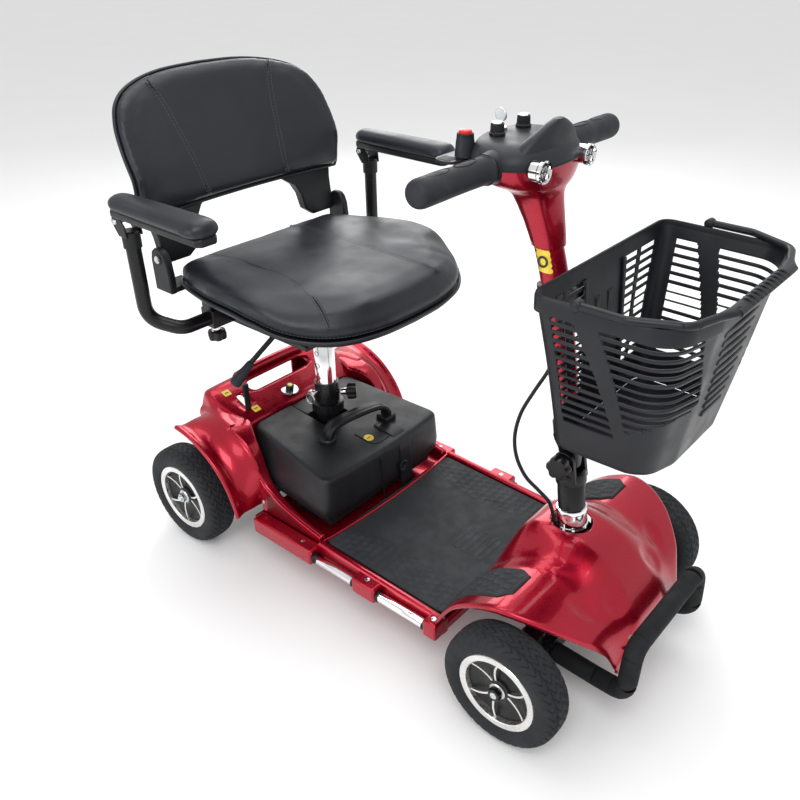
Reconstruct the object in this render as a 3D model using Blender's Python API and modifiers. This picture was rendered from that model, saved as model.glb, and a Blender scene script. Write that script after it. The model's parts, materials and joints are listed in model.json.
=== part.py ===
"""Four-wheeled travel mobility scooter, in metres, +Z up, front towards -Y, rider's right towards -X.

The design frame has its origin on the ground midway between the axles. The root empty then
shifts everything along Y, so that the origin is at the middle of the bounding box's floor.
Every piece is one object. A moving piece hangs from an empty that stands on its joint's axis.
"""

import math

import bmesh
import bpy
from mathutils import Vector

# Driving dimensions
SHIFT_Y = 0.03862
GAP = 0.0004
SHELL = 0.003

WHEEL_RADIUS = 0.100
TYRE_HALF_WIDTH = 0.0290
RIM_RADIUS = 0.0655
HALF_TRACK = 0.2175
FRONT_AXLE_Y = -0.3725
REAR_AXLE_Y = 0.3657
KINGPIN_X = 0.165
TIE_ROD_Y = FRONT_AXLE_Y + 0.060
TIE_PIN_X = KINGPIN_X

STEM_AT_DECK = Vector((0.0, -0.340, 0.249))
STEM_AXIS = Vector((0.0, 0.1170, 0.9931)).normalized()
STEM_RADIUS = 0.021
TILT_Z = 0.365

POST_Y = 0.200
POST_RADIUS = 0.0190
DECK_HALF_WIDTH = 0.186
PAN_FRONT_Y = -0.232
PAN_REAR_Y = 0.222

HEAD_Z = 0.797
GRIP_RADIUS = 0.0178

SEAT_TILT_Z = 0.577
SEAT_BACK_Y = 0.352
ARM_X = 0.2695
ARM_Y = 0.321
ARM_TUBE_RADIUS = 0.0118

SIDES = (("right", -1), ("left", 1))

ANTI_TIP_X = 0.064
ANTI_TIP_Y = 0.452
ANTI_TIP_Z = 0.052
HEAD_CONTROLS = {
    "speed_knob": (-0.030, -0.190, 0.826),
    "light_knob": (0.030, -0.190, 0.826),
    "key": (0.0, -0.174, 0.826),
    "horn_button": (-0.062, -0.163, 0.830),
    "throttle": (0.0, -0.172, HEAD_Z),
}
BASKET_BACK_Y = -0.345
BASKET_RIM_Z = 0.690
BAIL_Y = -0.410
BAIL_Z = 0.700
SWIVEL_LEVER_PIVOT = (-0.083, 0.219, 0.4420)
ARM_HINGE_Y = 0.334
ARM_HINGE_Z = 0.664
ARM_KNOB_X = 0.165
ARM_KNOB_Z = 0.4628
ARM_BAR_Y = 0.285
HEIGHT_PIN_AT = (-0.0194, POST_Y, 0.3000)
POST_KNOB_AT = (0.020, 0.176, 0.288)
FREEWHEEL_PIVOT = (-0.104, 0.320, 0.258)
SIDE_TUBE_X = 0.1965
SIDE_TUBE_Z = 0.0930
SIDE_TUBE_RADIUS = 0.0080
PAD_THICKNESS = 0.0030
ARCH_PROFILE = (
    (-0.226, 0.118), (-0.240, 0.146), (-0.262, 0.178), (-0.300, 0.207), (-0.350, 0.225),
    (-0.410, 0.213), (-0.458, 0.180), (-0.478, 0.150), (-0.488, 0.120),
)
HUMP_PROFILE = (
    (-0.226, 0.118), (-0.240, 0.150), (-0.256, 0.200), (-0.285, 0.246), (-0.340, 0.254),
    (-0.408, 0.240), (-0.450, 0.208), (-0.478, 0.174), (-0.488, 0.160),
)
COWL_HALF_WIDTH = (
    (-0.226, 0.198), (-0.262, 0.202), (-0.348, 0.204), (-0.410, 0.181), (-0.458, 0.141),
    (-0.478, 0.112), (-0.488, 0.100),
)
COWL_STATIONS = (
    -0.2265, -0.2330, -0.2420, -0.2520, -0.2650, -0.2850, -0.3120, -0.3450, -0.3800, -0.4100, -0.4360,
    -0.4580, -0.4750, -0.4880,
)
BUMPER_RADIUS = 0.0150
LID_SLOPE = 0.090
LID_EDGE_Z = 0.2150
LID_TOP_Z = 0.2210
COVER_HALF_WIDTH = 0.1765
COVER_THICKNESS = 0.018
COVER_STATIONS = (
    (0.2790, 0.1280, 0.2500, 0.2480), (0.3000, 0.1360, 0.2580, 0.2540), (0.3300, 0.1440, 0.2710, 0.2600),
    (0.3640, 0.1460, 0.2860, 0.2620), (0.3840, 0.1400, 0.2860, 0.2560),
)
CHEEK_INNER_X = 0.1665
CHEEK_OUTLINE = (
    (0.052, 0.1198), (0.052, 0.1250), (0.100, 0.1340), (0.150, 0.1480), (0.190, 0.1690),
    (0.208, 0.1900), (0.219, 0.2160), (0.235, 0.2370), (0.260, 0.2480), (0.300, 0.2520),
    (0.364, 0.2600), (0.3835, 0.2550), (0.3835, 0.1402), (0.235, 0.1300), (0.2260, 0.1198),
)
FENDER_RADIUS = 0.1600
FENDER_ROOT_RISE = 0.0090
COLUMN_PATH = (
    (0.0, -0.3262, 0.3650), (0.0, -0.3105, 0.4500), (0.0, -0.2930, 0.5500), (0.0, -0.2740, 0.6400),
    (0.0, -0.2560, 0.7000), (0.0, -0.2300, 0.7820),
)
BAR_Y = -0.2160
HEADLIGHT_X = 0.0545
HEADLIGHT_RADIUS = 0.0130
SEAT_OUTLINE = (
    (0.0, -0.0260), (0.0700, -0.0220), (0.1300, -0.0060), (0.1750, 0.0250), (0.2050, 0.0650),
    (0.2235, 0.1100), (0.2255, 0.1560), (0.2190, 0.2150), (0.2070, 0.2650), (0.1940, 0.3100),
    (0.1840, 0.3350), (0.1700, 0.3490), (0.1200, 0.3530), (0.0, 0.3530),
)
SEAT_UNDER_Z = 0.5272
SEAT_TOP_Z = 0.5720
BACK_OUTLINE = (
    (0.6500, 0.2140), (0.6600, 0.2210), (0.6900, 0.2225), (0.7200, 0.2225), (0.7500, 0.2220),
    (0.7800, 0.2180), (0.8000, 0.2105), (0.8180, 0.1980), (0.8330, 0.1740), (0.8440, 0.1350),
    (0.8510, 0.0800),
)
ARM_BAR_Z = 0.4790

BODIES = {}
COLLECTIONS = {}
MATERIALS = {}


# ---------------------------------------------------------------- scene, materials and helpers

def clear_scene():
    for obj in list(bpy.data.objects):
        bpy.data.objects.remove(obj, do_unlink=True)


def make_collections():
    for name in ("mobility_scooter", "cutters"):
        COLLECTIONS[name] = bpy.data.collections.new(name)
        bpy.context.scene.collection.children.link(COLLECTIONS[name])


def make_material(name, colour, roughness, metallic=0.0):
    material = bpy.data.materials.new(name)
    material.use_nodes = True
    shader = material.node_tree.nodes["Principled BSDF"]
    shader.inputs["Base Color"].default_value = (*colour, 1.0)
    shader.inputs["Roughness"].default_value = roughness
    shader.inputs["Metallic"].default_value = metallic
    material.diffuse_color = (*colour, 1.0)
    MATERIALS[name] = material


def make_materials():
    make_material("red_paint", (0.38, 0.005, 0.012), 0.18, 0.4)
    make_material("black_plastic", (0.020, 0.021, 0.023), 0.55)
    make_material("grey_plastic", (0.045, 0.050, 0.058), 0.45)
    make_material("black_steel", (0.012, 0.012, 0.013), 0.35)
    make_material("chrome", (0.80, 0.80, 0.82), 0.10, 1.0)
    make_material("zinc", (0.62, 0.63, 0.64), 0.30, 1.0)
    make_material("tyre_rubber", (0.030, 0.031, 0.034), 0.75)
    make_material("mat_rubber", (0.050, 0.052, 0.056), 0.80)
    make_material("foam", (0.018, 0.019, 0.021), 0.70)
    make_material("leather", (0.018, 0.022, 0.028), 0.38)
    make_material("machined_rim", (0.70, 0.70, 0.68), 0.28, 1.0)
    make_material("red_button", (0.75, 0.02, 0.02), 0.35)


def make_body(name, pivot, parent="root"):
    """An empty on the joint's axis. Its pieces and the bodies it carries hang from it."""
    empty = bpy.data.objects.new(name + "_pivot", None)
    COLLECTIONS["mobility_scooter"].objects.link(empty)
    pivot = Vector(pivot)
    if name == "root":
        empty.location = pivot
        BODIES[name] = (empty, Vector((0.0, 0.0, 0.0)))
        return
    carrier, carrier_pivot = BODIES[parent]
    empty.parent = carrier
    empty.location = pivot - carrier_pivot
    BODIES[name] = (empty, pivot)


def add(name, data, body, material, location=(0, 0, 0), direction=None):
    """Links a new object. location is in the design frame, and direction is where its Z points."""
    obj = bpy.data.objects.new(name, data)
    COLLECTIONS["mobility_scooter"].objects.link(obj)
    empty, pivot = BODIES[body]
    obj.parent = empty
    obj.location = Vector(location) - pivot
    if direction is not None:
        obj.rotation_euler = Vector(direction).to_track_quat("Z", "Y").to_euler()
    if data.materials:
        data.materials.clear()
    data.materials.append(MATERIALS[material])
    return obj


def mesh_from(bm, name):
    bmesh.ops.recalc_face_normals(bm, faces=bm.faces)
    mesh = bpy.data.meshes.new(name)
    bm.to_mesh(mesh)
    bm.free()
    return mesh


def smooth(obj, degrees=35):
    obj.data.shade_smooth()
    obj.data.set_sharp_from_angle(angle=math.radians(degrees))
    return obj


def bevelled(obj, width, segments=2, degrees=40):
    bevel = obj.modifiers.new("Bevel", "BEVEL")
    bevel.width = width
    bevel.segments = segments
    bevel.limit_method = "ANGLE"
    bevel.angle_limit = math.radians(degrees)
    return obj


def box(name, low, high, body="root", material="black_steel", bevel=0.0, segments=2):
    low, high = Vector(low), Vector(high)
    bm = bmesh.new()
    bmesh.ops.create_cube(bm, size=1.0)
    bmesh.ops.scale(bm, vec=high - low, verts=bm.verts)
    obj = add(name, mesh_from(bm, name), body, material, (low + high) / 2)
    return bevelled(obj, bevel, segments) if bevel else obj


def cylinder(name, start, end, radius, body="root", material="black_steel", sides=20, end_radius=None):
    start, end = Vector(start), Vector(end)
    bm = bmesh.new()
    top = radius if end_radius is None else end_radius
    length = (end - start).length
    bmesh.ops.create_cone(bm, cap_ends=True, segments=sides, radius1=radius, radius2=top, depth=length)
    obj = add(name, mesh_from(bm, name), body, material, (start + end) / 2, end - start)
    return smooth(obj)


def turned(name, profile, base, direction, body, material, steps=28, ring=False):
    """Turns (radius, height) points about the direction through base. A ring closes on itself."""
    bm = bmesh.new()
    verts = [bm.verts.new((radius, 0.0, height)) for radius, height in profile]
    pairs = list(zip(verts, verts[1:]))
    if ring:
        pairs.append((verts[-1], verts[0]))
    for first, second in pairs:
        bm.edges.new((first, second))
    mesh = bpy.data.meshes.new(name)
    bm.to_mesh(mesh)
    bm.free()
    obj = add(name, mesh, body, material, base, direction)
    screw = obj.modifiers.new("Screw", "SCREW")
    screw.axis = "Z"
    screw.steps = steps
    screw.render_steps = steps
    screw.use_merge_vertices = True
    screw.merge_threshold = 0.00001
    screw.use_smooth_shade = True
    return obj


def tube(name, points, radius, body="root", material="black_steel", resolution=2, cyclic=False):
    curve = bpy.data.curves.new(name, "CURVE")
    curve.dimensions = "3D"
    curve.bevel_depth = radius
    curve.bevel_resolution = resolution
    curve.use_fill_caps = not cyclic
    spline = curve.splines.new("POLY")
    spline.points.add(len(points) - 1)
    spline.use_cyclic_u = cyclic
    for point, place in zip(spline.points, points):
        point.co = (*place, 1.0)
    return add(name, curve, body, material)


def plate(name, outline, low, high, body="root", material="black_steel"):
    """A flat outline of (x, y) points, extruded from z low to z high."""
    curve = bpy.data.curves.new(name, "CURVE")
    curve.dimensions = "2D"
    curve.fill_mode = "BOTH"
    curve.extrude = (high - low) / 2
    spline = curve.splines.new("POLY")
    spline.points.add(len(outline) - 1)
    spline.use_cyclic_u = True
    for point, place in zip(spline.points, outline):
        point.co = (place[0], place[1], 0.0, 1.0)
    return as_mesh(add(name, curve, body, material, (0, 0, (low + high) / 2)))


def as_mesh(obj):
    """Replaces a curve object with a welded mesh object of the same name."""
    bpy.context.view_layer.update()
    graph = bpy.context.evaluated_depsgraph_get()
    mesh = bpy.data.meshes.new_from_object(obj.evaluated_get(graph))
    bm = bmesh.new()
    bm.from_mesh(mesh)
    bmesh.ops.remove_doubles(bm, verts=bm.verts, dist=0.00002)
    bm.to_mesh(mesh)
    bm.free()
    name, parent, matrix = obj.name, obj.parent, obj.matrix_world.copy()
    bpy.data.objects.remove(obj, do_unlink=True)
    made = bpy.data.objects.new(name, mesh)
    COLLECTIONS["mobility_scooter"].objects.link(made)
    made.parent = parent
    made.matrix_world = matrix
    return made


def as_tool(obj):
    COLLECTIONS["mobility_scooter"].objects.unlink(obj)
    COLLECTIONS["cutters"].objects.link(obj)
    obj.hide_render = True
    obj.display_type = "WIRE"


def combine(target, others, operation, solver):
    for other in others:
        as_tool(other)
        boolean = target.modifiers.new(operation.title(), "BOOLEAN")
        boolean.operation = operation
        boolean.solver = solver
        boolean.object = other
    return target


def cut(target, *others, solver="EXACT"):
    return combine(target, others, "DIFFERENCE", solver)


def join(target, *others, solver="EXACT"):
    return combine(target, others, "UNION", solver)


def loft(name, rings, body, material):
    """Closed rings of equally many points, skinned one to the next and capped at both ends."""
    bm = bmesh.new()
    loops = [[bm.verts.new(point) for point in ring] for ring in rings]
    count = len(loops[0])
    for lower, upper in zip(loops, loops[1:]):
        for i in range(count):
            j = (i + 1) % count
            bm.faces.new((lower[i], lower[j], upper[j], upper[i]))
    bm.faces.new(loops[0])
    bm.faces.new(loops[-1])
    return smooth(add(name, mesh_from(bm, name), body, material))


def shell(name, rows, body, material, thickness=SHELL, outer=(0, 0, 1)):
    """An open surface through rows of points, thickened away from its outer side."""
    bm = bmesh.new()
    grid = [[bm.verts.new(point) for point in row] for row in rows]
    for near, far in zip(grid, grid[1:]):
        for i in range(len(near) - 1):
            bm.faces.new((near[i], near[i + 1], far[i + 1], far[i]))
    bm.normal_update()
    if sum(face.normal.dot(Vector(outer)) for face in bm.faces) < 0:
        bmesh.ops.reverse_faces(bm, faces=bm.faces)
    mesh = bpy.data.meshes.new(name)
    bm.to_mesh(mesh)
    bm.free()
    obj = add(name, mesh, body, material)
    solid = obj.modifiers.new("Solidify", "SOLIDIFY")
    solid.thickness = thickness
    solid.offset = -1.0
    return smooth(obj)


def oval(centre, a, b, count=24, power=2.0):
    """A superellipse in a level plane, as (x, y, z) points."""
    points = []
    for i in range(count):
        angle = 2 * math.pi * i / count
        c, s = math.cos(angle), math.sin(angle)
        x = a * math.copysign(abs(c) ** (2 / power), c)
        y = b * math.copysign(abs(s) ** (2 / power), s)
        points.append(Vector((centre[0] + x, centre[1] + y, centre[2])))
    return points


def through(table, position):
    """A smooth curve through (position, value) pairs, read at one position."""
    table = sorted(table)
    if position <= table[0][0]:
        return table[0][1]
    if position >= table[-1][0]:
        return table[-1][1]
    last = len(table) - 1
    i = next(k for k in range(last) if table[k + 1][0] >= position)
    (x0, y0), (x1, y1) = table[i], table[i + 1]
    before, after = table[max(i - 1, 0)], table[min(i + 2, last)]
    slope0 = (y1 - before[1]) / (x1 - before[0])
    slope1 = (after[1] - y0) / (after[0] - x0)
    t = (position - x0) / (x1 - x0)
    width = x1 - x0
    return (
        (2 * t**3 - 3 * t**2 + 1) * y0
        + (t**3 - 2 * t**2 + t) * width * slope0
        + (3 * t**2 - 2 * t**3) * y1
        + (t**3 - t**2) * width * slope1
    )


def filleted(points, radius, steps=4):
    """The polyline through points, each inner corner rounded to the radius."""
    points = [Vector(point) for point in points]
    path = [points[0]]
    for before, corner, after in zip(points, points[1:], points[2:]):
        back, ahead = (before - corner).normalized(), (after - corner).normalized()
        half = back.angle(ahead) / 2
        reach = min(
            radius / math.tan(half), 0.49 * (before - corner).length, 0.49 * (after - corner).length,
        )
        start, end = corner + back * reach, corner + ahead * reach
        for i in range(steps + 1):
            t = i / steps
            path.append(start * (1 - t) ** 2 + corner * 2 * t * (1 - t) + end * t**2)
    path.append(points[-1])
    return path


def smooth_route(points, spacing):
    """Points every spacing along a Catmull-Rom curve through the given points."""
    points = [Vector(point) for point in points]
    ends = [2 * points[0] - points[1], *points, 2 * points[-1] - points[-2]]
    route = [points[0]]
    for a, b, c, d in zip(ends, ends[1:], ends[2:], ends[3:]):
        pieces = max(2, round((c - b).length / spacing))
        for i in range(1, pieces + 1):
            t = i / pieces
            route.append(
                0.5 * (
                    2 * b + (c - a) * t + (2 * a - 5 * b + 4 * c - d) * t**2 + (3 * b - a - 3 * c + d) * t**3
                )
            )
    return route


def stem_point(z):
    """The point of the steering axis at this height."""
    return STEM_AT_DECK + STEM_AXIS * ((z - STEM_AT_DECK.z) / STEM_AXIS.z)


def deck_z(y):
    """The top of the floor mat, which rises gently towards the rear."""
    return 0.1080 + (y + 0.200) * 0.037


# ---------------------------------------------------------------- bodies

def make_bodies():
    make_body("root", (0.0, SHIFT_Y, 0.0))
    for side, sign in SIDES:
        make_body("knuckle_" + side, (sign * KINGPIN_X, FRONT_AXLE_Y, WHEEL_RADIUS))
        make_body(
            "front_wheel_" + side, (sign * HALF_TRACK, FRONT_AXLE_Y, WHEEL_RADIUS), "knuckle_" + side,
        )
        make_body("rear_wheel_" + side, (sign * HALF_TRACK, REAR_AXLE_Y, WHEEL_RADIUS))
        make_body("anti_tip_wheel_" + side, (sign * ANTI_TIP_X, ANTI_TIP_Y, ANTI_TIP_Z))
    make_body("tie_rod", (-TIE_PIN_X, TIE_ROD_Y, 0.049), "knuckle_right")
    make_body("steering", stem_point(TILT_Z))
    make_body("tiller", stem_point(TILT_Z), "steering")
    make_body("tilt_knob", stem_point(TILT_Z), "tiller")
    for name, place in HEAD_CONTROLS.items():
        make_body(name, place, "tiller")
    make_body("basket", (0.0, BASKET_BACK_Y, BASKET_RIM_Z), "tiller")
    make_body("bail", (0.0, BAIL_Y, BAIL_Z), "basket")
    make_body("seat_post", (0.0, POST_Y, 0.300))
    make_body("seat", (0.0, POST_Y, 0.440), "seat_post")
    make_body("seat_back", (0.0, SEAT_BACK_Y, SEAT_TILT_Z), "seat")
    make_body("swivel_lever", SWIVEL_LEVER_PIVOT, "seat")
    for side, sign in SIDES:
        make_body("arm_" + side, (sign * ARM_X, ARM_Y, 0.495), "seat")
        make_body("arm_pad_" + side, (sign * ARM_X, ARM_HINGE_Y, ARM_HINGE_Z), "arm_" + side)
        make_body("arm_knob_" + side, (sign * ARM_KNOB_X, ARM_BAR_Y, ARM_KNOB_Z), "seat")
    make_body("post_knob", POST_KNOB_AT)
    make_body("height_pin", HEIGHT_PIN_AT)
    make_body("freewheel_lever", FREEWHEEL_PIVOT)


# ---------------------------------------------------------------- chassis

def make_main_frame():
    frame = box("main_frame", (-0.045, -0.385, 0.0600), (0.045, 0.3100, 0.0840))
    ears = []
    beam_low = FRONT_AXLE_Y - 0.015
    beam_high = FRONT_AXLE_Y + 0.015
    ears.append(box("axle_beam", (-0.1425, beam_low, 0.0755), (0.1425, beam_high, 0.1055)))
    for side, sign in SIDES:
        web = sorted((sign * 0.1340, sign * 0.1430))
        ear = sorted((sign * 0.1345, sign * 0.1775))
        near, far = FRONT_AXLE_Y - 0.013, FRONT_AXLE_Y + 0.013
        ears.append(box("yoke_web_" + side, (web[0], near + 0.005, 0.0531), (web[1], far - 0.005, 0.1469)))
        ears.append(
            box("yoke_top_" + side, (ear[0], near - 0.0003, 0.1400), (ear[1], far + 0.0003, 0.1472))
        )
        ears.append(
            box("yoke_bottom_" + side, (ear[0], near - 0.0003, 0.0528), (ear[1], far + 0.0003, 0.0600))
        )
        arm = sorted((sign * 0.0380, sign * 0.0495))
        ears.append(box("anti_tip_arm_" + side, (arm[0], 0.3050, 0.0484), (arm[1], 0.4600, 0.0594)))
        pin = [sign * 0.0450, sign * 0.0780]
        ears.append(
            cylinder(
                "anti_tip_pin_" + side, (pin[0], ANTI_TIP_Y, ANTI_TIP_Z),
                (pin[1], ANTI_TIP_Y, ANTI_TIP_Z), 0.0035, sides=12,
            )
        )
    ears.append(box("rear_plate", (-0.0500, 0.3000, 0.0482), (0.0500, 0.3099, 0.1400)))
    head_tube = cylinder("head_tube", stem_point(0.0700), stem_point(0.1850), 0.0205, sides=24)
    join(frame, head_tube, *ears)
    bore = cylinder("head_tube_bore", stem_point(0.0300), stem_point(0.2300), 0.0128, sides=24)
    return cut(frame, bore)


def make_floor_pan():
    thickness = 0.018
    rings = []
    for y in (PAN_FRONT_Y, PAN_REAR_Y):
        top = deck_z(y) - 0.0044
        half = DECK_HALF_WIDTH
        rings.append(
            [(-half, y, top - thickness), (half, y, top - thickness), (half, y, top), (-half, y, top)]
        )
    pan = loft("floor_pan", rings, "root", "red_paint")
    extras = []
    for side, sign in SIDES:
        sill = sorted((sign * 0.1772, sign * 0.1862))
        extras.append(box("sill_" + side, (sill[0], PAN_FRONT_Y, 0.0820), (sill[1], 0.2000, 0.1125)))
        for number, (low, high, drop) in enumerate(
            ((-0.2315, -0.2050, 0.064), (-0.1000, -0.0500, 0.078), (0.0500, 0.1990, 0.074))
        ):
            reach = sorted((sign * 0.1800, sign * 0.2070))
            lug = box(
                f"lug_{side}_{number}", (reach[0], low, drop), (reach[1], high, 0.1118), bevel=0.003,
                segments=1,
            )
            extras.append(lug)
    join(pan, *extras)
    holes = [cylinder("post_hole", (0, POST_Y, 0.05), (0, POST_Y, 0.15), 0.0235)]
    for side, sign in SIDES:
        start, end = (sign * SIDE_TUBE_X, -0.2045, SIDE_TUBE_Z), (sign * SIDE_TUBE_X, 0.0495, SIDE_TUBE_Z)
        holes.append(cylinder("side_tube_hole_" + side, start, end, SIDE_TUBE_RADIUS + GAP, sides=20))
    return cut(pan, *holes)


def make_side_tubes():
    for side, sign in SIDES:
        x = sign * SIDE_TUBE_X
        start, end = (x, -0.2045 + GAP, SIDE_TUBE_Z), (x, 0.0495 - GAP, SIDE_TUBE_Z)
        cylinder("side_tube_" + side, start, end, SIDE_TUBE_RADIUS, material="chrome", sides=16)


def cowl_z(x, y):
    """The cowl's upper surface: a hump round the stem between two wheel arches."""
    t = min(max((abs(x) - 0.030) / 0.070, 0.0), 1.0)
    blend = t * t * (3 - 2 * t)
    return through(HUMP_PROFILE, y) * (1 - blend) + through(ARCH_PROFILE, y) * blend


def make_front_cowl():
    half_across = (0.15, 0.28, 0.40, 0.54, 0.78, 1.0)
    across = [-u for u in reversed(half_across)] + [0.0, *half_across]
    rows = []
    for y in COWL_STATIONS:
        half = through(COWL_HALF_WIDTH, y)
        rows.append([(u * half, y, cowl_z(u * half, y)) for u in across])
    rows.append([(u * 0.100, -0.4925, 0.1040) for u in across])
    cowl = shell("front_cowl", rows, "root", "red_paint")
    hole = cylinder("stem_hole", stem_point(0.200), stem_point(0.300), 0.0325, sides=24)
    return cut(cowl, hole)


def make_floor_mat():
    """The rubber mat, with a pad at each front corner that climbs the wheel arch."""
    outline = [
        (-0.1690, 0.0420), (-0.1700, -0.2180), (0.1700, -0.2180), (0.1690, 0.0420),
        (0.1500, 0.0380), (0.0, 0.0300), (-0.1500, 0.0380),
    ]
    bm = bmesh.new()
    base = bm.faces.new([bm.verts.new((x, y, deck_z(y) - 0.0040)) for x, y in outline])
    made = bmesh.ops.extrude_face_region(bm, geom=[base])
    for item in made["geom"]:
        if isinstance(item, bmesh.types.BMVert):
            item.co.z += 0.0040
    mat = add("floor_mat", mesh_from(bm, "floor_mat"), "root", "mat_rubber")
    pads = []
    for side, sign in SIDES:
        flat = [(deck_z(-0.2050) + 0.0006, -0.2050), (deck_z(-0.2200) + 0.0020, -0.2200)]
        rising = []
        for y in [y for y in COWL_STATIONS if y > -0.3500]:
            slope = (cowl_z(0.15, y - 0.002) - cowl_z(0.15, y + 0.002)) / 0.004
            lift = (PAD_THICKNESS + GAP) / math.hypot(1.0, slope)
            rising.append((cowl_z(0.15, y) + lift, y + lift * slope))
        rows = []
        for z, y in flat + rising:
            inner, outer = (0.1100, 0.1690) if y > -0.2260 else (0.1120, 0.1860)
            rows.append([(sign * (inner + (outer - inner) * u), y, z) for u in (0.0, 0.5, 1.0)])
        pads.append(shell("pad_" + side, rows, "root", "mat_rubber", PAD_THICKNESS))
    return join(mat, *pads)


def make_front_bumper():
    """A foam-covered loop: low along each side, up at the front and straight across."""
    half = [
        (0.1000, -0.3880, 0.0780), (0.1020, -0.4600, 0.0770), (0.1130, -0.5140, 0.0900),
        (0.1040, -0.5140, 0.1730),
    ]
    right = [(-x, y, z) for x, y, z in half]
    path = filleted(right + half[::-1], 0.030)
    return tube("front_bumper", path, BUMPER_RADIUS, material="foam", resolution=2)


def make_cover_top():
    """The sloping lid over the drive: a flat middle with a lower shoulder on each side."""
    rings = []
    for y, half, top, shoulder in COVER_STATIONS:
        low = shoulder - COVER_THICKNESS
        right = [(-COVER_HALF_WIDTH, y, low), (-COVER_HALF_WIDTH, y, shoulder), (-half, y, top)]
        rings.append(right + [(-x, y, z) for x, y, z in reversed(right)])
    return loft("rear_cover", rings, "root", "red_paint")


def make_cheek(side, sign):
    """The upright wall beside the battery box, which climbs from the deck to the lid."""
    near, far = sorted((sign * CHEEK_INNER_X, sign * COVER_HALF_WIDTH))
    bm = bmesh.new()
    face = bm.faces.new([bm.verts.new((near, y, z)) for y, z in CHEEK_OUTLINE])
    made = bmesh.ops.extrude_face_region(bm, geom=[face])
    for item in made["geom"]:
        if isinstance(item, bmesh.types.BMVert):
            item.co.x = far
    return add("cheek_" + side, mesh_from(bm, "cheek"), "root", "red_paint")


def make_fender(side, sign):
    """The mudguard, which wraps the top and the front of the rear wheel."""
    rows = []
    for angle in range(92, 173, 8):
        a = math.radians(angle)
        y, z = REAR_AXLE_Y + FENDER_RADIUS * math.cos(a), WHEEL_RADIUS + FENDER_RADIUS * math.sin(a)
        rise = FENDER_ROOT_RISE * math.sin(a)
        rows.append(
            [(sign * 0.1700, y, z + rise), (sign * 0.2050, y, z + 0.4 * rise), (sign * 0.2350, y, z)]
        )
    return shell("fender_" + side, rows, "root", "red_paint", 0.0040)


def make_rear_cover():
    """The painted cover over the drive, with cheeks beside the battery box and two fenders."""
    top = make_cover_top()
    walls = [box("rear_wall", (-0.1700, 0.3760, 0.1400), (0.1700, 0.3839, 0.2600))]
    for side, sign in SIDES:
        walls.append(make_cheek(side, sign))
        walls.append(make_fender(side, sign))
    bar = filleted(
        [(-0.100, 0.366, 0.280), (-0.080, 0.366, 0.299), (0.080, 0.366, 0.299), (0.100, 0.366, 0.280)],
        0.02, 3,
    )
    handle = as_mesh(tube("handle_bar", bar, 0.0085, material="red_paint", resolution=2))
    join(top, *walls, handle, solver="MANIFOLD")
    opening = box("handle_opening", (-0.075, 0.3250, 0.2200), (0.075, 0.3550, 0.3400))
    slot = box("freewheel_slot", (-0.112, 0.3040, 0.2200), (-0.096, 0.3360, 0.3200))
    return cut(top, opening, slot, solver="MANIFOLD")


# ---------------------------------------------------------------- battery box

def make_battery_case():
    """A faceted cover round the seat post, open below, with its carry handle on top."""
    low = [
        (-0.1630, 0.0520), (0.0, 0.0440), (0.1630, 0.0520), (0.1580, 0.2740), (0.0, 0.2745),
        (-0.1580, 0.2740),
    ]
    shoulder = [
        (-0.1530, 0.0545), (0.0, 0.0470), (0.1530, 0.0545), (0.1240, 0.2735), (0.0, 0.2740),
        (-0.1240, 0.2735),
    ]
    crown = [
        (-0.1460, 0.0620), (0.0, 0.0545), (0.1460, 0.0620), (0.1180, 0.2690), (0.0, 0.2695),
        (-0.1180, 0.2690),
    ]
    rings = [[(x, y, deck_z(PAN_REAR_Y) - 0.0044 + GAP) for x, y in low]]
    rings.append([(x, y, LID_EDGE_Z + LID_SLOPE * y) for x, y in shoulder])
    rings.append([(x, y, LID_TOP_Z + LID_SLOPE * y) for x, y in crown])
    case = loft("battery_case", rings, "root", "black_plastic")
    arch = [
        (-0.060, 0.138, 0.2240), (-0.060, 0.138, 0.2580), (-0.030, 0.130, 0.2740), (0.0, 0.122, 0.2790),
        (0.030, 0.114, 0.2760), (0.056, 0.106, 0.2600), (0.056, 0.106, 0.2210),
    ]
    handle = as_mesh(tube("battery_handle", arch, 0.0085, material="black_plastic", resolution=1))
    join(case, handle, solver="MANIFOLD")
    cutters = [
        box("post_notch", (-0.0340, 0.1660, 0.100), (0.0340, 0.3100, 0.300)),
        box("motor_notch", (0.0520, 0.2550, 0.100), (0.1280, 0.3100, 0.1560)),
    ]
    for side, sign in SIDES:
        near, far = sorted((sign * 0.0380, sign * 0.1390))
        cutters.append(box("battery_bay_" + side, (near, 0.0620, 0.1000), (far, 0.1620, 0.2080)))
        near, far = sorted((sign * 0.0380, sign * 0.1240))
        cutters.append(box("rear_bay_" + side, (near, 0.1600, 0.1000), (far, 0.2640, 0.2080)))
    cutters.append(box("bay_link", (-0.0390, 0.0620, 0.1000), (0.0390, 0.1620, 0.2080)))
    return cut(case, *cutters, solver="MANIFOLD")


def make_battery_pack():
    """Two sealed 12 V blocks side by side, strapped together in front of the post."""
    right = box(
        "battery_pack", (-0.1360, 0.0660, 0.1190), (-0.0030, 0.1580, 0.2050), material="black_plastic",
    )
    left = box("battery_left", (0.0030, 0.0660, 0.1190), (0.1360, 0.1580, 0.2050))
    strap = box("battery_strap", (-0.0400, 0.0700, 0.1230), (0.0400, 0.1540, 0.2000))
    return join(right, left, strap)


def make_controller():
    box("controller", (0.0520, 0.1680, 0.1200), (0.1180, 0.2280, 0.1600), material="zinc", bevel=0.003)


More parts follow.
